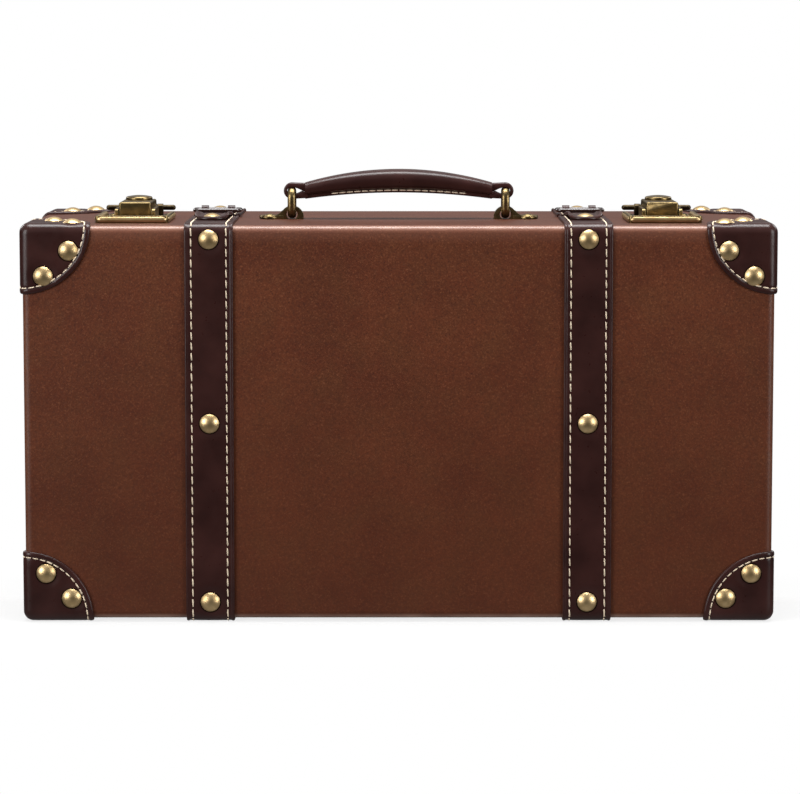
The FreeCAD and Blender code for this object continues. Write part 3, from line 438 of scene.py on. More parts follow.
# %% Rim and board
beech, tree, shader, place = finish_named("oiled_beech", Roughness=0.5)
long_grain = add(tree, "ShaderNodeMapping", {"Vector": place, "Scale": (0.06, 1.0, 0.06)}).outputs["Vector"]
grain = add(tree, "ShaderNodeTexNoise", {"Vector": long_grain, "Scale": 1 / (1.6 * MM), "Detail": 5.0})
shade = add(tree, "ShaderNodeMix", {"Factor": grain, "A": linear("#8a5f38"), "B": linear("#b98c5c")}, data_type="RGBA")
feed(tree, shader.inputs["Base Color"], shade)

millboard, tree, shader, place = finish_named("grey_millboard", Roughness=0.9)
fibre = add(tree, "ShaderNodeTexNoise", {"Vector": place, "Scale": 1 / (1.5 * MM), "Detail": 4.0})
shade = add(tree, "ShaderNodeMix", {"Factor": fibre, "A": linear("#6e6252"), "B": linear("#8c7f6c")}, data_type="RGBA")
feed(tree, shader.inputs["Base Color"], shade)
print("materials", beech.name, millboard.name)

# %% [markdown]
# Solids whose shape is already right keep their CAD mesh and only get a finish.
# The record says which slot each node belongs to, so the finish is looked up, not listed by hand. A few nodes differ
# from the rest of their slot, and those are listed.

# %% Finishes for the CAD nodes
FINISH = {"body_leather": cowhide, "trim_leather": calf, "board": beech, "lining": twill,
          "antique_brass": brass, "dark_steel": steel}
SPECIAL = {f"{name}_{hand}": made for hand in HANDS for name, made in (("buckle", lacquer), ("hasp_rod", bronze))}
SPECIAL |= {"base_shell": millboard, "lid_shell": millboard, "lock_screws": worn, "hasp_plate_screws": worn}
SLOT_OF = {part["node"]: part["material_slot"] for part in frame["record"]["subparts"]}
for node, slot in SLOT_OF.items():
    mesh = frame["nodes"][node].data
    mesh.materials.clear()
    mesh.materials.append(SPECIAL.get(node, FINISH[slot]))
print("finished nodes:", len(SLOT_OF))

# %% [markdown]
# Every new piece is finished the same way: its mesh gets a material and smooth shading, it rides on a body, and
# where it stands for CAD nodes, those are hidden.


# %% Helper for a finished piece
def piece(name, mesh, material, body, slot, *nodes, sharp=35):
    """Puts a mesh into the scene as a piece of the suitcase."""
    mesh.name = name
    mesh.materials.clear()
    mesh.materials.append(material)
    mesh.shade_smooth()
    mesh.set_sharp_from_angle(angle=math.radians(sharp))
    made = bpy.data.objects.new(name, mesh)
    scene.collection.objects.link(made)
    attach(made, body)
    if nodes:
        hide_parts(*nodes)
    print(name, len(mesh.polygons), "faces on", body)
    return made


def mesh_from(shape):
    """Plain mesh of a bmesh with its doubles merged and its faces turned outwards."""
    bmesh.ops.remove_doubles(shape, verts=shape.verts, dist=0.005 * MM)
    bmesh.ops.recalc_face_normals(shape, faces=shape.faces)
    mesh = bpy.data.meshes.new("piece")
    shape.to_mesh(mesh)
    shape.free()
    return mesh


# %% [markdown]
# Each corner cap has three round flaps. Its row of stitches follows a closed line: an arc on each of three faces,
# and a bend over each of three edges, all at one distance from the corner.
# Working in distances from the corner (in along X, Y and Z) makes one line serve all eight corners.


# %% The line round a corner cap
def cap_line(reach, height, step=2.0):
    """Points and outward directions on the cap's surface, at one distance from the corner, as a closed line."""
    line = []
    flat = math.sqrt(reach ** 2 - height ** 2)
    begin = math.asin(EDGE / flat)
    bend_count = 7
    arc_count = round(flat * (math.pi / 2 - 2 * begin) / step)
    for a in range(3):
        b, c = (a + 1) % 3, (a + 2) % 3
        for i in range(bend_count):
            turn = math.pi / 2 * i / bend_count
            at = Vector((0, 0, 0))
            at[a] = EDGE - (EDGE + height) * math.cos(turn)
            at[b] = EDGE - (EDGE + height) * math.sin(turn)
            at[c] = math.sqrt(reach ** 2 - at[a] ** 2 - at[b] ** 2)
            out = Vector((0, 0, 0))
            out[a], out[b] = -math.cos(turn), -math.sin(turn)
            line.append((at, out))
        for i in range(arc_count):
            turn = begin + (math.pi / 2 - 2 * begin) * i / arc_count
            at = Vector((0, 0, 0))
            at[a], at[b], at[c] = flat * math.sin(turn), -height, flat * math.cos(turn)
            out = Vector((0, 0, 0))
            out[b] = -1
            line.append((at, out))
    return line


def at_corner(line, side, hand, top):
    """The line at one corner of the case, in metres, with its outward directions."""
    rise = -1 if top else 1
    level = TOP_SIDE if top else FLOOR_SIDE
    return [(Vector((hand * (HALF_WIDTH - at.x), side * (DEPTH - at.y), level + rise * at.z)) * MM,
             Vector((-hand * out.x, -side * out.y, rise * out.z))) for at, out in line]


CORNERS = [(hand, top) for hand in HANDS.values() for top in (False, True)]
print("corners of each half", len(CORNERS))

# %% [markdown]
# The caps are moulded calf: each flap runs smoothly over the edges, is pulled down round its studs, drops into a
# groove under the stitches and ends in a flat rolled rim. A bevelled copy of the solid would have no dimples, and
# sculpting them would not repeat on eight corners. A grid in polar steps round the corner carries all of it by rule.

# %% Where the studs of a cap sit
RING = 41
STUD_ANGLE = 24.5
STUD_TURN = 8
STUD_DROP = 3
END_STUD = 32
SINK = 0.65


def on_ring(degrees):
    """Place on the ring of studs, as distances from the corner's two edges."""
    return RING * math.cos(math.radians(degrees)), RING * math.sin(math.radians(degrees))


def cap_spots(top):
    """Places of a cap's studs on its outer faces, in distances from the corner, and their outward directions."""
    drop = STUD_DROP if top else 0
    level = SINK - TRIM
    spots = [(Vector((level, END_STUD, END_STUD + drop)), Vector((-1, 0, 0)))]
    spots += [(Vector((a, level, b + drop)), Vector((0, -1, 0)))
              for a, b in (on_ring(STUD_ANGLE), on_ring(90 - STUD_ANGLE))]
    if top:
        spots += [(Vector((a, b, level)), Vector((0, 0, -1)))
                  for a, b in (on_ring(STUD_ANGLE - STUD_TURN), on_ring(90 - STUD_ANGLE - STUD_TURN))]
    return spots


print("studs on an upper cap", len(cap_spots(True)))

# %% Moulded caps
CAP_REACH = 55
CAP_ROUND = EDGE + TRIM
CAP_RIM = [(0.1, -2.3), (0.0, -1.4), (0.25, -0.6), (0.8, -0.1), (1.6, 0.14), (2.5, 0.26), (3.2, 0.26), (3.8, 0.08),
           (4.3, -0.18), (4.9, -0.3), (5.6, -0.24), (6.4, -0.06), (7.4, 0.0)]
DIMPLE_REACH, STUD_EDGE = 13.0, 8.4
CAP_TURNS = 44
CAP_STEPS = 27


def ease(value, begin, end):
    """0 before begin, 1 after end, smooth between."""
    t = max(0.0, min(1.0, (value - begin) / (end - begin)))
    return t * t * (3 - 2 * t)


def dimple(away):
    """How far the leather is pulled down at a distance from the middle of a stud."""
    return SINK * ease(away, DIMPLE_REACH, STUD_EDGE)


def cap_point(axis, radius, turn, offset, spots):
    """Point on the flap across an axis, in distances from the corner of the leather body."""
    sharp = Vector((0, 0, 0))
    sharp[(axis + 1) % 3] = radius * math.cos(turn)
    sharp[(axis + 2) % 3] = radius * math.sin(turn)
    core = Vector([max(part, CAP_ROUND) for part in sharp])
    out = (sharp - core).normalized()
    at = core + out * CAP_ROUND - Vector((TRIM, TRIM, TRIM))
    pulled = max(dimple((at - spot).length) for spot, way in spots)
    return at + out * (offset - pulled), out


def cap_edge(turn):
    """Radius at which a flap ends, so that all flaps end at one distance from the body's corner."""
    flat = math.sqrt(CAP_REACH ** 2 - TRIM ** 2)
    along, beside = math.cos(turn) + math.sin(turn), math.cos(turn) - math.sin(turn)
    return TRIM * along + math.sqrt(flat ** 2 - (TRIM * beside) ** 2)


for half, side in HALVES.items():
    for hand, sign in HANDS.items():
        for level, top in (("bottom", False), ("top", True)):
            shape = bmesh.new()
            spots = cap_spots(top)
            for axis in range(3):
                rings = []
                for i in range(CAP_TURNS + 1):
                    turn = math.pi / 2 * i / CAP_TURNS
                    end = cap_edge(turn)
                    inner = end - CAP_RIM[-1][0]
                    line = [(end - inset, offset) for inset, offset in CAP_RIM]
                    line += [(inner * (1 - k / CAP_STEPS), 0.0) for k in range(1, CAP_STEPS + 1)]
                    points = at_corner([cap_point(axis, r, turn, h, spots) for r, h in line], side, sign, top)
                    rings.append([shape.verts.new((at.x, at.y, max(at.z, 0.0))) for at, out in points])
                for one, two in zip(rings, rings[1:]):
                    for k in range(len(one) - 1):
                        shape.faces.new((one[k], one[k + 1], two[k + 1], two[k]))
            piece(f"{half}_cap_{level}_{hand}", mesh_from(shape), calf, half, "trim_leather",
                  f"{half}_corner_{level}_{hand}", sharp=70)

# %% [markdown]
# Stitches could be drawn in a material, but real thread stands up and casts a shadow, so they are shapes.
# They repeat along a line, so Geometry Nodes sew them: the line is cut at the pitch, and each cut carries one
# short thread that rises out of its hole and dips back in. The line's points carry the direction out of the leather
# as an attribute, which keeps every stitch flat on its seam, also round a bend.


# %% The sewing tree
def named_tree(name, sizes):
    """Geometry Nodes tree with named sizes as its inputs."""
    tree = bpy.data.node_groups.new(name, "GeometryNodeTree")
    tree.interface.new_socket("Geometry", in_out="INPUT", socket_type="NodeSocketGeometry")
    for size in sizes:
        tree.interface.new_socket(size, in_out="INPUT", socket_type="NodeSocketFloat")
    tree.interface.new_socket("Geometry", in_out="OUTPUT", socket_type="NodeSocketGeometry")
    return tree, tree.nodes.new("NodeGroupInput"), tree.nodes.new("NodeGroupOutput")


sewing, given, sewn_out = named_tree("sewing", ("Pitch", "Stitch Length", "Thread Width", "Slant"))
line = add(sewing, "GeometryNodeMeshToCurve", {"Mesh": given.outputs["Geometry"]})
line = add(sewing, "GeometryNodeResampleCurve", {"Curve": line}, mode="LENGTH")
feed(sewing, line.inputs["Length"], given.outputs["Pitch"])
out = add(sewing, "GeometryNodeInputNamedAttribute", {"Name": "out"}, data_type="FLOAT_VECTOR")
along = add(sewing, "GeometryNodeInputTangent")
turn = add(sewing, "FunctionNodeAxesToRotation", {"Primary Axis": out, "Secondary Axis": along},
           primary_axis="Z", secondary_axis="X")
lean = add(sewing, "FunctionNodeAxisAngleToRotation", {"Axis": (0, 0, 1), "Angle": given.outputs["Slant"]})
turn = add(sewing, "FunctionNodeRotateRotation", {"Rotation": turn, "Rotate By": lean}, rotation_space="LOCAL")
half_long = add(sewing, "ShaderNodeMath", {0: given.outputs["Stitch Length"], 1: 0.5}, operation="MULTIPLY")
radius = add(sewing, "ShaderNodeMath", {0: given.outputs["Thread Width"], 1: 0.5}, operation="MULTIPLY")
dip = add(sewing, "ShaderNodeMath", {0: radius, 1: -0.9}, operation="MULTIPLY")
back = add(sewing, "ShaderNodeMath", {0: half_long, 1: -1.0}, operation="MULTIPLY")
thread = add(sewing, "GeometryNodeCurveQuadraticBezier",
             {"Resolution": 6, "Start": add(sewing, "ShaderNodeCombineXYZ", {"X": back, "Z": dip}),
              "Middle": add(sewing, "ShaderNodeCombineXYZ", {"Z": radius}),
              "End": add(sewing, "ShaderNodeCombineXYZ", {"X": half_long, "Z": dip})})
round_section = add(sewing, "GeometryNodeCurvePrimitiveCircle", {"Resolution": 6, "Radius": radius}, mode="RADIUS")
stitch = add(sewing, "GeometryNodeCurveToMesh", {"Curve": thread, "Profile Curve": round_section,
                                                 "Fill Caps": True})
row = add(sewing, "GeometryNodeInstanceOnPoints", {"Points": line, "Instance": stitch, "Rotation": turn})
row = add(sewing, "GeometryNodeRealizeInstances", {"Geometry": row})
row = add(sewing, "GeometryNodeSetMaterial", {"Geometry": row, "Material": linen})
feed(sewing, sewn_out.inputs["Geometry"], row)
print("tree", sewing.name, "with", len(sewing.nodes), "nodes")


# %% Helpers that lay out lines and points, and run a tree on them
def layout(lines, joined=True):
    """Mesh of lines of (point, outward direction), with that direction stored on each point."""
    points = [at for line in lines for at, out in line]
    edges = []
    start = 0
    for line in lines:
        count = len(line)
        if joined:
            edges += [(start + i, start + i + 1) for i in range(count - 1)]
        start += count
    mesh = bpy.data.meshes.new("layout")
    mesh.from_pydata(points, edges, [])
    outward = mesh.attributes.new("out", "FLOAT_VECTOR", "POINT")
    outward.data.foreach_set("vector", [c for line in lines for at, out in line for c in out])
    return mesh


def plain(mesh, prepare):
    """Plain mesh that modifiers make of a mesh: a holder carries it while they are set up and evaluated."""
    holder = bpy.data.objects.new("holder", mesh)
    scene.collection.objects.link(holder)
    prepare(holder.modifiers)
    made = bpy.data.meshes.new_from_object(holder.evaluated_get(bpy.context.evaluated_depsgraph_get()))
    holder.modifiers.clear()
    bpy.data.objects.remove(holder)
    bpy.data.meshes.remove(mesh)
    return made


def grown(mesh, tree, **sizes):
    """Plain mesh that a tree makes on a layout, with the tree's sizes given in metres or radians."""

    def prepare(modifiers):
        step = modifiers.new("tree", "NODES")
        step.node_group = tree
        for item in tree.interface.items_tree:
            if item.in_out == "INPUT" and item.name in sizes:
                step[item.identifier] = sizes[item.name]

    return plain(mesh, prepare)


def sew(name, lines, body, pitch, long, wide, slant=0.0):
    """Rows of stitches as one piece of a body."""
    sizes = {"Pitch": pitch * MM, "Stitch Length": long * MM, "Thread Width": wide * MM, "Slant": slant}
    mesh = grown(layout(lines), sewing, **sizes)
    for vert in mesh.vertices:
        vert.co.z = max(vert.co.z, 0.0)
    return piece(name, mesh, linen, body, "trim_leather", sharp=80)


# %% Stitches of the caps
SEAM = 50.1
STUD_COVER = 8.2
CAP_SEWING = {"pitch": 5.85, "long": 4.2, "wide": 1.15}


def between_studs(line, top):
    """Parts of a closed line that no stud covers, starting under a stud."""
    free = [min((at - spot).length for spot, way in cap_spots(top)) > STUD_COVER for at, out in line]
    start = free.index(False)
    runs = [[]]
    for i in range(len(line)):
        k = (start + i) % len(line)
        if free[k]:
            runs[-1].append(line[k])
        elif runs[-1]:
            runs.append([])
    return [run for run in runs if len(run) > 3]


for half, side in HALVES.items():
    rows = []
    for hand, top in CORNERS:
        rows += [at_corner(run, side, hand, top) for run in between_studs(cap_line(SEAM, TRIM - 0.25, 1.0), top)]
    sew(f"{half}_cap_stitches", rows, half, **CAP_SEWING)

# %% [markdown]
# The straps are long bands of calf with rolled edges, nailed on with studs. A curve with a profile could sweep one,
# but could not dip at a stud. So one section, drawn across the strap, is carried in close steps from under the floor
# side, up the face and over the top, and round each stud the leather is pulled down.

# %% Strap section and path
STRAP_SECTION = [(19.2, 0.0), (19.4, 0.9), (19.3, 1.7), (18.9, 2.25), (18.3, 2.5), (17.6, 2.45), (17.0, 2.15),
                 (16.4, 1.98), (15.2, 2.02), (14.0, 1.95), (12.8, 2.05), (11.4, 2.12), (9.6, 2.16), (7.6, 2.18),
                 (5.6, 2.2), (3.6, 2.2), (1.8, 2.2)]
STRAP_STITCH = 14.0
STRAP_SEWING = {"pitch": 8.2, "long": 6.0, "wide": 1.1, "slant": 0.06}
STRAP_STUDS = (308.2, 160.7, 16.2)
STEP = 2.2


def strap_path(side):
    """Points on the body's leather along a strap and their outward directions, in Y and Z."""
    turn_y, low, high = DEPTH - EDGE, FLOOR_SIDE + EDGE, TOP_SIDE - EDGE
    run = round((turn_y - STRAP_END) / STEP)
    rise = round((high - low) / STEP)
    path = [(STRAP_END + (turn_y - STRAP_END) * i / run, FLOOR_SIDE, 0, -1) for i in range(run)]
    bend = [math.pi / 2 * i / 6 for i in range(6)]
    path += [(turn_y + EDGE * math.sin(a), low - EDGE * math.cos(a), math.sin(a), -math.cos(a)) for a in bend]
    path += [(DEPTH, low + (high - low) * i / rise, 1, 0) for i in range(rise)]
    path += [(turn_y + EDGE * math.cos(a), high + EDGE * math.sin(a), math.cos(a), math.sin(a)) for a in bend]
    path += [(turn_y + (STRAP_END - turn_y) * i / run, TOP_SIDE, 0, 1) for i in range(run + 1)]
    return [(side * y, z, side * ny, nz) for y, z, ny, nz in path]


def pull(across, z, out_y):
    """How far a stud on the face pulls the strap down at a point."""
    if abs(out_y) < 0.99:
        return 0.0
    return dimple(min(math.hypot(across, z - stud) for stud in STRAP_STUDS))


def skin(shape, rings, ends=True):
    """Faces between rings of points of one count, and over both ends where it has ends."""
    for one, two in zip(rings, rings[1:]):
        for k in range(len(one)):
            n = (k + 1) % len(one)
            shape.faces.new((one[k], one[n], two[n], two[k]))
    if ends:
        shape.faces.new(rings[0])
        shape.faces.new(rings[-1])


print("steps along a strap", len(strap_path(1)))

# %% Straps
section = STRAP_SECTION + [(0.0, 2.2)] + [(-s, h) for s, h in reversed(STRAP_SECTION)]
for half, side in HALVES.items():
    for hand, sign in HANDS.items():
        shape = bmesh.new()
        rows = []
        for y, z, ny, nz in strap_path(side):
            row = []
            for across, height in section:
                lift = height - (pull(across, z, ny) if height > 0.5 else 0)
                row.append(shape.verts.new(Vector((sign * STRAP_X + across, y + ny * lift,
                                                   max(z + nz * lift, 0))) * MM))
            rows.append(row)
        skin(shape, rows)
        piece(f"{half}_strap_{hand}_leather", mesh_from(shape), calf, half, "trim_leather", f"{half}_strap_{hand}")
    seams = []
    for sign in HANDS.values():
        for edge in (-1, 1):
            lift = TRIM - 0.15
            seams.append([(Vector((sign * STRAP_X + edge * STRAP_STITCH, y + ny * lift, z + nz * lift)) * MM,
                           Vector((0, ny, nz))) for y, z, ny, nz in strap_path(side)[2:-2]])
    sew(f"{half}_strap_stitches", seams, half, **STRAP_SEWING)

# %% [markdown]
# A stud is a stamped brass dome on a thin flange. A ball cut flat would do from afar, but it lacks the flange, which
# carries a painted dark ring of shade. So its profile is turned about an axis once, and Geometry Nodes place it on
# points that carry the direction out of the leather. Each body gets its own mesh, so the studs move with what they
# hold.

# %% A turned stud
STUD_RISE = 3.5
STUD_RADIUS = 7.9
STUD_BALL = (STUD_RADIUS ** 2 + STUD_RISE ** 2) / (2 * STUD_RISE)
# The third value of each profile point is its share of painted shade at the rim.
STUD_PROFILE = [(0.0, -0.3, 1.0), (8.5, -0.3, 1.0), (8.55, 0.1, 1.0), (8.0, 0.2, 1.0)]
STUD_PROFILE += [(r, STUD_RISE - STUD_BALL + math.sqrt(STUD_BALL ** 2 - r * r), 1.0 if r > 7.7 else 0.0)
                 for r in (7.85, 7.65, 7.2, 6.5, 5.6, 4.6, 3.4, 2.2, 1.1, 0)]


def turned(profile, segments):
    """Solid of revolution about Z from a profile of radii, heights in millimetres and shares of painted rim shade."""
    shape = bmesh.new()
    rim = shape.verts.layers.float.new("rim")
    rings = []
    for radius, height, painted_rim_shade in profile:
        if radius == 0:
            ring = [shape.verts.new((0, 0, height * MM))] * segments
        else:
            ring = [shape.verts.new((radius * MM * math.cos(2 * math.pi * k / segments),
                                     radius * MM * math.sin(2 * math.pi * k / segments), height * MM))
                    for k in range(segments)]
        for vert in ring:
            vert[rim] = painted_rim_shade
        rings.append(ring)
    for one, two in zip(rings, rings[1:]):
        for k in range(segments):
            n = (k + 1) % segments
            corners = list(dict.fromkeys((one[k], one[n], two[n], two[k])))
            shape.faces.new(corners)
    return mesh_from(shape)


def studding(name, mesh, material):
    """Tree that puts a turned head on each point of a layout, and its template object."""
    template = bpy.data.objects.new(name + "_template", mesh)
    tree, given, out_node = named_tree(name, ("Scale",))
    head = add(tree, "GeometryNodeObjectInfo", {"Object": template})
    out = add(tree, "GeometryNodeInputNamedAttribute", {"Name": "out"}, data_type="FLOAT_VECTOR")
    turn = add(tree, "FunctionNodeAlignRotationToVector", {"Vector": out}, axis="Z")
    placed = add(tree, "GeometryNodeInstanceOnPoints", {"Points": given.outputs["Geometry"], "Rotation": turn,
                                                        "Instance": head.outputs["Geometry"],
                                                        "Scale": given.outputs["Scale"]})
    placed = add(tree, "GeometryNodeRealizeInstances", {"Geometry": placed})
    placed = add(tree, "GeometryNodeSetMaterial", {"Geometry": placed, "Material": material})
    feed(tree, out_node.inputs["Geometry"], placed)
    return tree, template


stud_tree, stud_template = studding("studding", turned(STUD_PROFILE, 28), brass)
print("stud", 2 * STUD_RADIUS, "mm wide,", STUD_RISE, "mm high")

# %% Studs on caps, straps, tabs and chapes
TAB_STUD, CHAPE_STUD = -54, 50


def studs(name, spots, body, *nodes):
    """Studs at places in metres with their outward directions, as one piece of a body."""
    return piece(name, grown(layout([spots], joined=False), stud_tree, Scale=1.0), brass, body, "antique_brass",
                 *nodes, sharp=50)


def on_top(y):
    """Studs on the two straps, on leather that lies on the top of the case."""
    return {hand: (Vector((sign * STRAP_X, y, TOP_SIDE + TRIM + 1.6)) * MM, Vector((0, 0, 1)))
            for hand, sign in HANDS.items()}


for half, side in HALVES.items():
    spots = [spot for hand, top in CORNERS for spot in at_corner(cap_spots(top), side, hand, top)]
    studs(f"{half}_cap_studs", spots, half, f"{half}_corner_rivets")
    spots = [(Vector((sign * STRAP_X, side * (DEPTH + TRIM - SINK), z)) * MM, Vector((0, side, 0)))
             for sign in HANDS.values() for z in STRAP_STUDS]
    if half == "lid":
        spots += on_top(CHAPE_STUD).values()
    studs(f"{half}_strap_studs", spots, half, f"{half}_strap_rivets")
for hand, spot in on_top(TAB_STUD).items():
    studs(f"tab_stud_{hand}", [spot], f"tab_{hand}", f"tab_rivet_{hand}")
bpy.data.objects.remove(stud_template)

# %% [markdown]
# Machined and cut pieces have no knife-sharp edges. A copy of the CAD mesh is merged, its flat faces are joined again,
# and a Bevel modifier breaks the outer edges, so each one catches a thin line of light. Inner corners stay sharp, so
# that a piece still fits its seat.


# %% Helper for softened copies
SHARP = math.radians(40)


def softened(node, wide, material, segments):
    """Copy of a CAD node with its sharp edges rounded, standing for that node."""
    shape = bmesh.new()
    shape.from_mesh(frame["nodes"][node].data)
    bmesh.ops.remove_doubles(shape, verts=shape.verts, dist=0.01 * MM)
    bmesh.ops.dissolve_limit(shape, angle_limit=math.radians(1.5), verts=shape.verts, edges=shape.edges)
    chosen = shape.edges.layers.float.new("bevel_weight_edge")
    for edge in shape.edges:
        if edge.is_convex and edge.calc_face_angle(0) > SHARP:
            edge[chosen] = 1.0
    mesh = bpy.data.meshes.new("copy")
    shape.to_mesh(mesh)
    shape.free()

    def prepare(modifiers):
        bevel = modifiers.new("edges", "BEVEL")
        bevel.width = wide * MM
        bevel.segments = segments
        bevel.limit_method = "WEIGHT"

    piece(f"{node}_softened", plain(mesh, prepare), material, BODY_OF[node], SLOT_OF[node], node, sharp=32)


# %% Chapes, clasps and brackets
SOFT_EDGES = (("strap_chape", 0.5, calf, 3), ("lock_plate", 0.9, worn, 3), ("hasp", 0.8, worn, 3),
              ("hasp_plate", 0.45, bronze, 3), ("lock_button", 1.1, worn, 5), ("handle_bracket", 0.6, worn, 3))
for hand in HANDS:
    for name, wide, material, segments in SOFT_EDGES:
        softened(f"{name}_{hand}", wide, material, segments)

# %% [markdown]
# Some edges are moulded, rounder than a bevel can make them: the half-round round a clasp's tray and the lip of its
# seat. A curve with a round bevel would give a round rod, so an oval tube of rings follows a line of points instead.


# %% Mouldings of the clasps
LOCK_X = 215
TRAY = {"half": 27.7, "front": -66.2, "back": -5, "turn": 3.2}
TRAY_TUBE, LIP_TUBE = (2.7, 3.1), (0.9, 0.9)
LIP = [(x, -41) for x in (-12.4, -4, 4, 12.4)]


def tube(shape, line, wide, high, sides=12):
    """Oval tube along a line of points with outward directions, closed at both ends, added to a bmesh."""
    rings = []
    for i, (at, out) in enumerate(line):
        along = line[min(i + 1, len(line) - 1)][0] - line[max(i - 1, 0)][0]
        beside = along.cross(out).normalized()
        turns = [2 * math.pi * k / sides for k in range(sides)]
        rings.append([shape.verts.new((at + beside * wide * math.cos(t) + out * high * math.sin(t)) * MM)
                      for t in turns])
    skin(shape, rings)


def hairpin(half, front, back, turn):
    """Line in X and Y round the front of a piece: back on the left, forward, round two bends, back on the right."""
    bend = [math.pi / 2 * i / 10 for i in range(11)]
    left = [(-half, back)] + [(turn - half - turn * math.cos(a), front + turn - turn * math.sin(a)) for a in bend]
    return left + [(-x, y) for x, y in reversed(left)]


def rolled(name, points, x, rise, section):
    """Tube along points in X and Y at one height over the top of the case, as a piece of its front half."""
    shape = bmesh.new()
    tube(shape, [(Vector((x + px, py, TOP_SIDE + rise)), Vector((0, 0, 1))) for px, py in points], *section)
    piece(name, mesh_from(shape), brass, "base", "antique_brass", sharp=60)


for hand, sign in HANDS.items():
    rolled(f"lock_{hand}_moulding", hairpin(**TRAY), sign * LOCK_X, 2.75, TRAY_TUBE)
    rolled(f"lock_{hand}_lip", LIP, sign * LOCK_X, 3.4, LIP_TUBE)

# %% [markdown]
# A tab is stiff calf with a turned rim, cupped by years under the buckle. A bevelled copy of the solid would stay
# flat, so lines at growing insets from its outline carry the rim's profile, and between its tip and the buckle the
# sides stand higher than the middle.

# %% Cupped tabs
TAB_HALF, TAB_TIP, TAB_BACK = 14, -67, 19
TAB_FLOOR = TOP_SIDE + TRIM + 0.2
TAB_PROFILE = [(14, 0.0), (0.6, 0.0), (0.1, 0.3), (0.0, 1.0), (0.2, 2.0), (0.8, 2.7), (1.7, 2.9), (2.6, 2.5),
               (3.3, 1.8), (4.2, 1.45), (6, 1.4), (9, 1.4), (14, 1.4)]
CUP = 3.6


def tab_line(inset, height):
    """Points of a tab at one inset from its outline."""
    half = TAB_HALF - inset
    middle = TAB_TIP + TAB_HALF
    side = [(half, TAB_BACK + (middle - TAB_BACK) * i / 24) for i in range(24)]
    nose = [(half * math.cos(math.pi * i / 24), middle - half * math.sin(math.pi * i / 24)) for i in range(25)]
    line = side + nose + [(-x, y) for x, y in reversed(side)]
    lifted = []
    for x, y in line:
        worked = 1 - ease(y, -8, 3)
        cup = CUP * (1 - ease(y, -50, 6)) * ease(y, TAB_TIP, TAB_TIP + 17) * (x / TAB_HALF) ** 2
        lifted.append((x, y, (height if height < 1.4 else 1.4 + (height - 1.4) * worked) + cup))
    return lifted


for hand, sign in HANDS.items():
    shape = bmesh.new()
    rings = [[shape.verts.new(Vector((sign * STRAP_X + x, y, TAB_FLOOR + z)) * MM) for x, y, z in tab_line(*step)]
             for step in TAB_PROFILE]
    skin(shape, rings, ends=False)
    bmesh.ops.dissolve_degenerate(shape, dist=0.001 * MM, edges=shape.edges)
    piece(f"tab_{hand}_leather", mesh_from(shape), calf, f"tab_{hand}", "trim_leather", f"strap_tab_{hand}", sharp=60)

# %% [markdown]
# The link that joins the handle to its bracket is a flattened brass ring, wider across than deep. A torus would be
# round, so an oval section is led round a long ring instead.
# The bracket's foot ends in a round eyelet with a raised rim and a small dome, turned and placed like a stud.

# %% Links and eyelets
LINK_HALF, LINK_ENDS = 6.9, 7.6
LINK_LOW = TOP_SIDE + 0.4 + 2.3 + LINK_HALF
LINK_WIDE, LINK_THICK = 3.4, 2.3
EYELET_X = 106.5
# The third value marks painted shade at the eyelet's foot and in its groove.
EYELET = [(0.0, 0.2, 0), (8.4, 0.2, 1), (8.5, 1.2, 0), (8.3, 2.4, 0), (7.6, 3.1, 0), (6.7, 3.1, 0), (6.0, 2.4, 0),
          (5.6, 1.5, 1), (4.7, 1.4, 1), (4.6, 2.0, 0), (4.0, 3.0, 0), (2.8, 3.8, 0), (1.4, 4.2, 0), (0.0, 4.3, 0)]
link = []
for i in range(40):
    turn = 2 * math.pi * i / 40
    rise = LINK_ENDS if math.sin(turn) > 0 else 0
    link.append((LINK_HALF * math.cos(turn), LINK_LOW + rise + LINK_HALF * math.sin(turn), turn))
for hand, sign in HANDS.items():
    shape = bmesh.new()
    rings = []
    for y, z, turn in link + link[:1]:
        ring = []
        for k in range(16):
            a = 2 * math.pi * k / 16
            away = LINK_THICK * math.sin(a)
            x = sign * RING_X + LINK_WIDE * math.cos(a)
            at = Vector((x, HANDLE_Y + y + away * math.cos(turn), z + away * math.sin(turn)))
            ring.append(shape.verts.new(at * MM))
        rings.append(ring)
    skin(shape, rings, ends=False)
    piece(f"link_{hand}", mesh_from(shape), worn, "handle", "antique_brass", f"handle_ring_{hand}", sharp=60)
eyelet_tree, eyelet_template = studding("eyelets", turned(EYELET, 28), worn)
spots = [(Vector((sign * EYELET_X, HANDLE_Y, TOP_SIDE)) * MM, Vector((0, 0, 1))) for sign in HANDS.values()]
piece("bracket_eyelets", grown(layout([spots], joined=False), eyelet_tree, Scale=1.0), worn, "base", "antique_brass",
      "bracket_rivets", sharp=60)
bpy.data.objects.remove(eyelet_template)

# %% [markdown]
# The grip is calf leather sewn round a padded core: flat-shouldered on top, drawn together below into a seam where
# the two edges of the leather meet. Its length follows the arch of the CAD grip, so it is lofted ring by ring, with
# the swell and the rise of each ring from one formula.

# %% Grip
GRIP_HALF = 77
GRIP_RISE = 8.2
GRIP_END_WIDE, GRIP_WIDE = 15, 24
GRIP_END_HIGH, GRIP_HIGH = 13.6, 19.5
GRIP_UPPER = [(0.0, 1.0), (0.3, 0.975), (0.54, 0.9), (0.73, 0.77), (0.86, 0.59), (0.945, 0.36), (0.985, 0.1),
              (0.98, -0.18), (0.93, -0.48), (0.81, -0.74), (0.60, -0.91), (0.36, -0.985)]
FIN = 3.4
FIN_HALF = 1.4


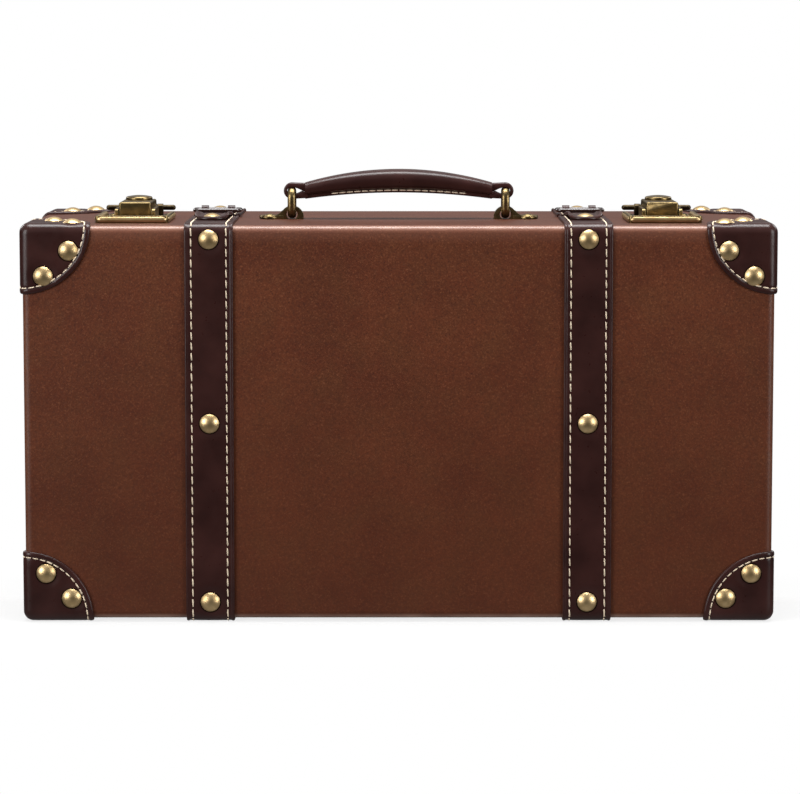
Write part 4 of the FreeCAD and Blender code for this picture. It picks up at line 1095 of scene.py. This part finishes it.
def grip_middle(u):
    """Half width, half height and middle of the padded part of the grip at u from -1 to 1."""
    swell = 1 - u * u
    wide = (GRIP_END_WIDE + (GRIP_WIDE - GRIP_END_WIDE) * swell) / 2
    high = (GRIP_END_HIGH + (GRIP_HIGH - GRIP_END_HIGH) * swell - FIN) / 2
    return wide, high, LOOP_Z + GRIP_RISE * swell + FIN / 2


def grip_section(u):
    """Points of the grip's section, round from the top, in Y and Z from the handle's line."""
    wide, high, middle = grip_middle(u)
    right = [(y * wide, middle + z * high) for y, z in GRIP_UPPER]
    foot = middle - high
    right += [(FIN_HALF + 0.7, foot - 0.15), (FIN_HALF, foot - 0.6), (FIN_HALF, foot - FIN + 0.5),
              (FIN_HALF - 0.5, foot - FIN), (0.0, foot - FIN)]
    return right + [(-y, z) for y, z in reversed(right[1:-1])]


shape = bmesh.new()
stations = [math.sin(math.pi / 2 * (i / 36 - 1)) * 0.35 + 0.65 * (i / 36 - 1) for i in range(73)]
skin(shape, [[shape.verts.new(Vector((u * GRIP_HALF, HANDLE_Y + y, z)) * MM) for y, z in grip_section(u)]
             for u in stations])
grip = piece("grip_leather", mesh_from(shape), calf, "handle", "trim_leather", "handle_grip", sharp=60)

# %% Grip stitches
GRIP_SEWING = {"pitch": 6.0, "long": 4.8, "wide": 1.1}
SEWN_SHARE = 0.7
seams = []
for way in (-1, 1):
    seam = []
    for u in [u for u in stations if abs(u) < SEWN_SHARE]:
        wide, high, middle = grip_middle(u)
        seam.append((Vector((u * GRIP_HALF, HANDLE_Y + way * (FIN_HALF + 0.05), middle - high - 1.5)) * MM,
                     Vector((0, way, 0))))
    seams.append(seam)
sew("grip_stitches", seams, "handle", **GRIP_SEWING)

# %% [markdown]
# At each end a strap is folded round the link, and its two tails are sewn together inside the grip.
# Seen from the front it is a drop: round at the link, closed to a line where the tails meet. Bending a flat band
# with a modifier would thin it at the fold, so pairs of inner and outer points lead a soft-edged section round it.

# %% Handle loops
LOOP_INNER, LOOP_INNER_HIGH, LOOP_OUTER = 3.9, 2.7, 6.7
LOOP_WIDE = 8
TAIL = 13
CLOSED = 8.5


def loop_line():
    """Pairs of inner and outer points round the fold, from the upper tail to the lower, in X and Z."""
    upper = []
    for i in range(11):
        x = TAIL * (i / 10 - 1)
        opened = max(0.0, 1 + x / CLOSED)
        inner = LOOP_INNER_HIGH * (1 - (1 - opened) ** 2)
        upper.append(((x, inner), (x, LOOP_OUTER - 0.6 * (1 - i / 10))))
    fold = []
    for i in range(1, 16):
        turn = math.pi * i / 16
        way = math.sin(turn), math.cos(turn)
        fold.append(((LOOP_INNER * way[0], LOOP_INNER_HIGH * way[1]), (LOOP_OUTER * way[0], LOOP_OUTER * way[1])))
    lower = [((ix, -iz), (ox, -oz)) for (ix, iz), (ox, oz) in reversed(upper)]
    return upper + fold + lower


half = LOOP_WIDE / 2
BAND = [(0.25, -half), (0.75, -half), (0.95, 0.4 - half), (1.0, 1.0 - half), (1.0, half - 1.0), (0.95, half - 0.4),
        (0.75, half), (0.25, half), (0.05, half - 0.4), (0.0, half - 1.0), (0.0, 1.0 - half), (0.05, 0.4 - half)]
for hand, sign in HANDS.items():
    shape = bmesh.new()
    rings = []
    for (ix, iz), (ox, oz) in loop_line():
        rings.append([shape.verts.new(Vector((sign * (RING_X + ix + (ox - ix) * t), HANDLE_Y + y,
                                              LOOP_Z + iz + (oz - iz) * t)) * MM) for t, y in BAND])
    skin(shape, rings)
    piece(f"loop_{hand}_leather", mesh_from(shape), calf, "handle", "trim_leather", f"handle_loop_{hand}", sharp=50)
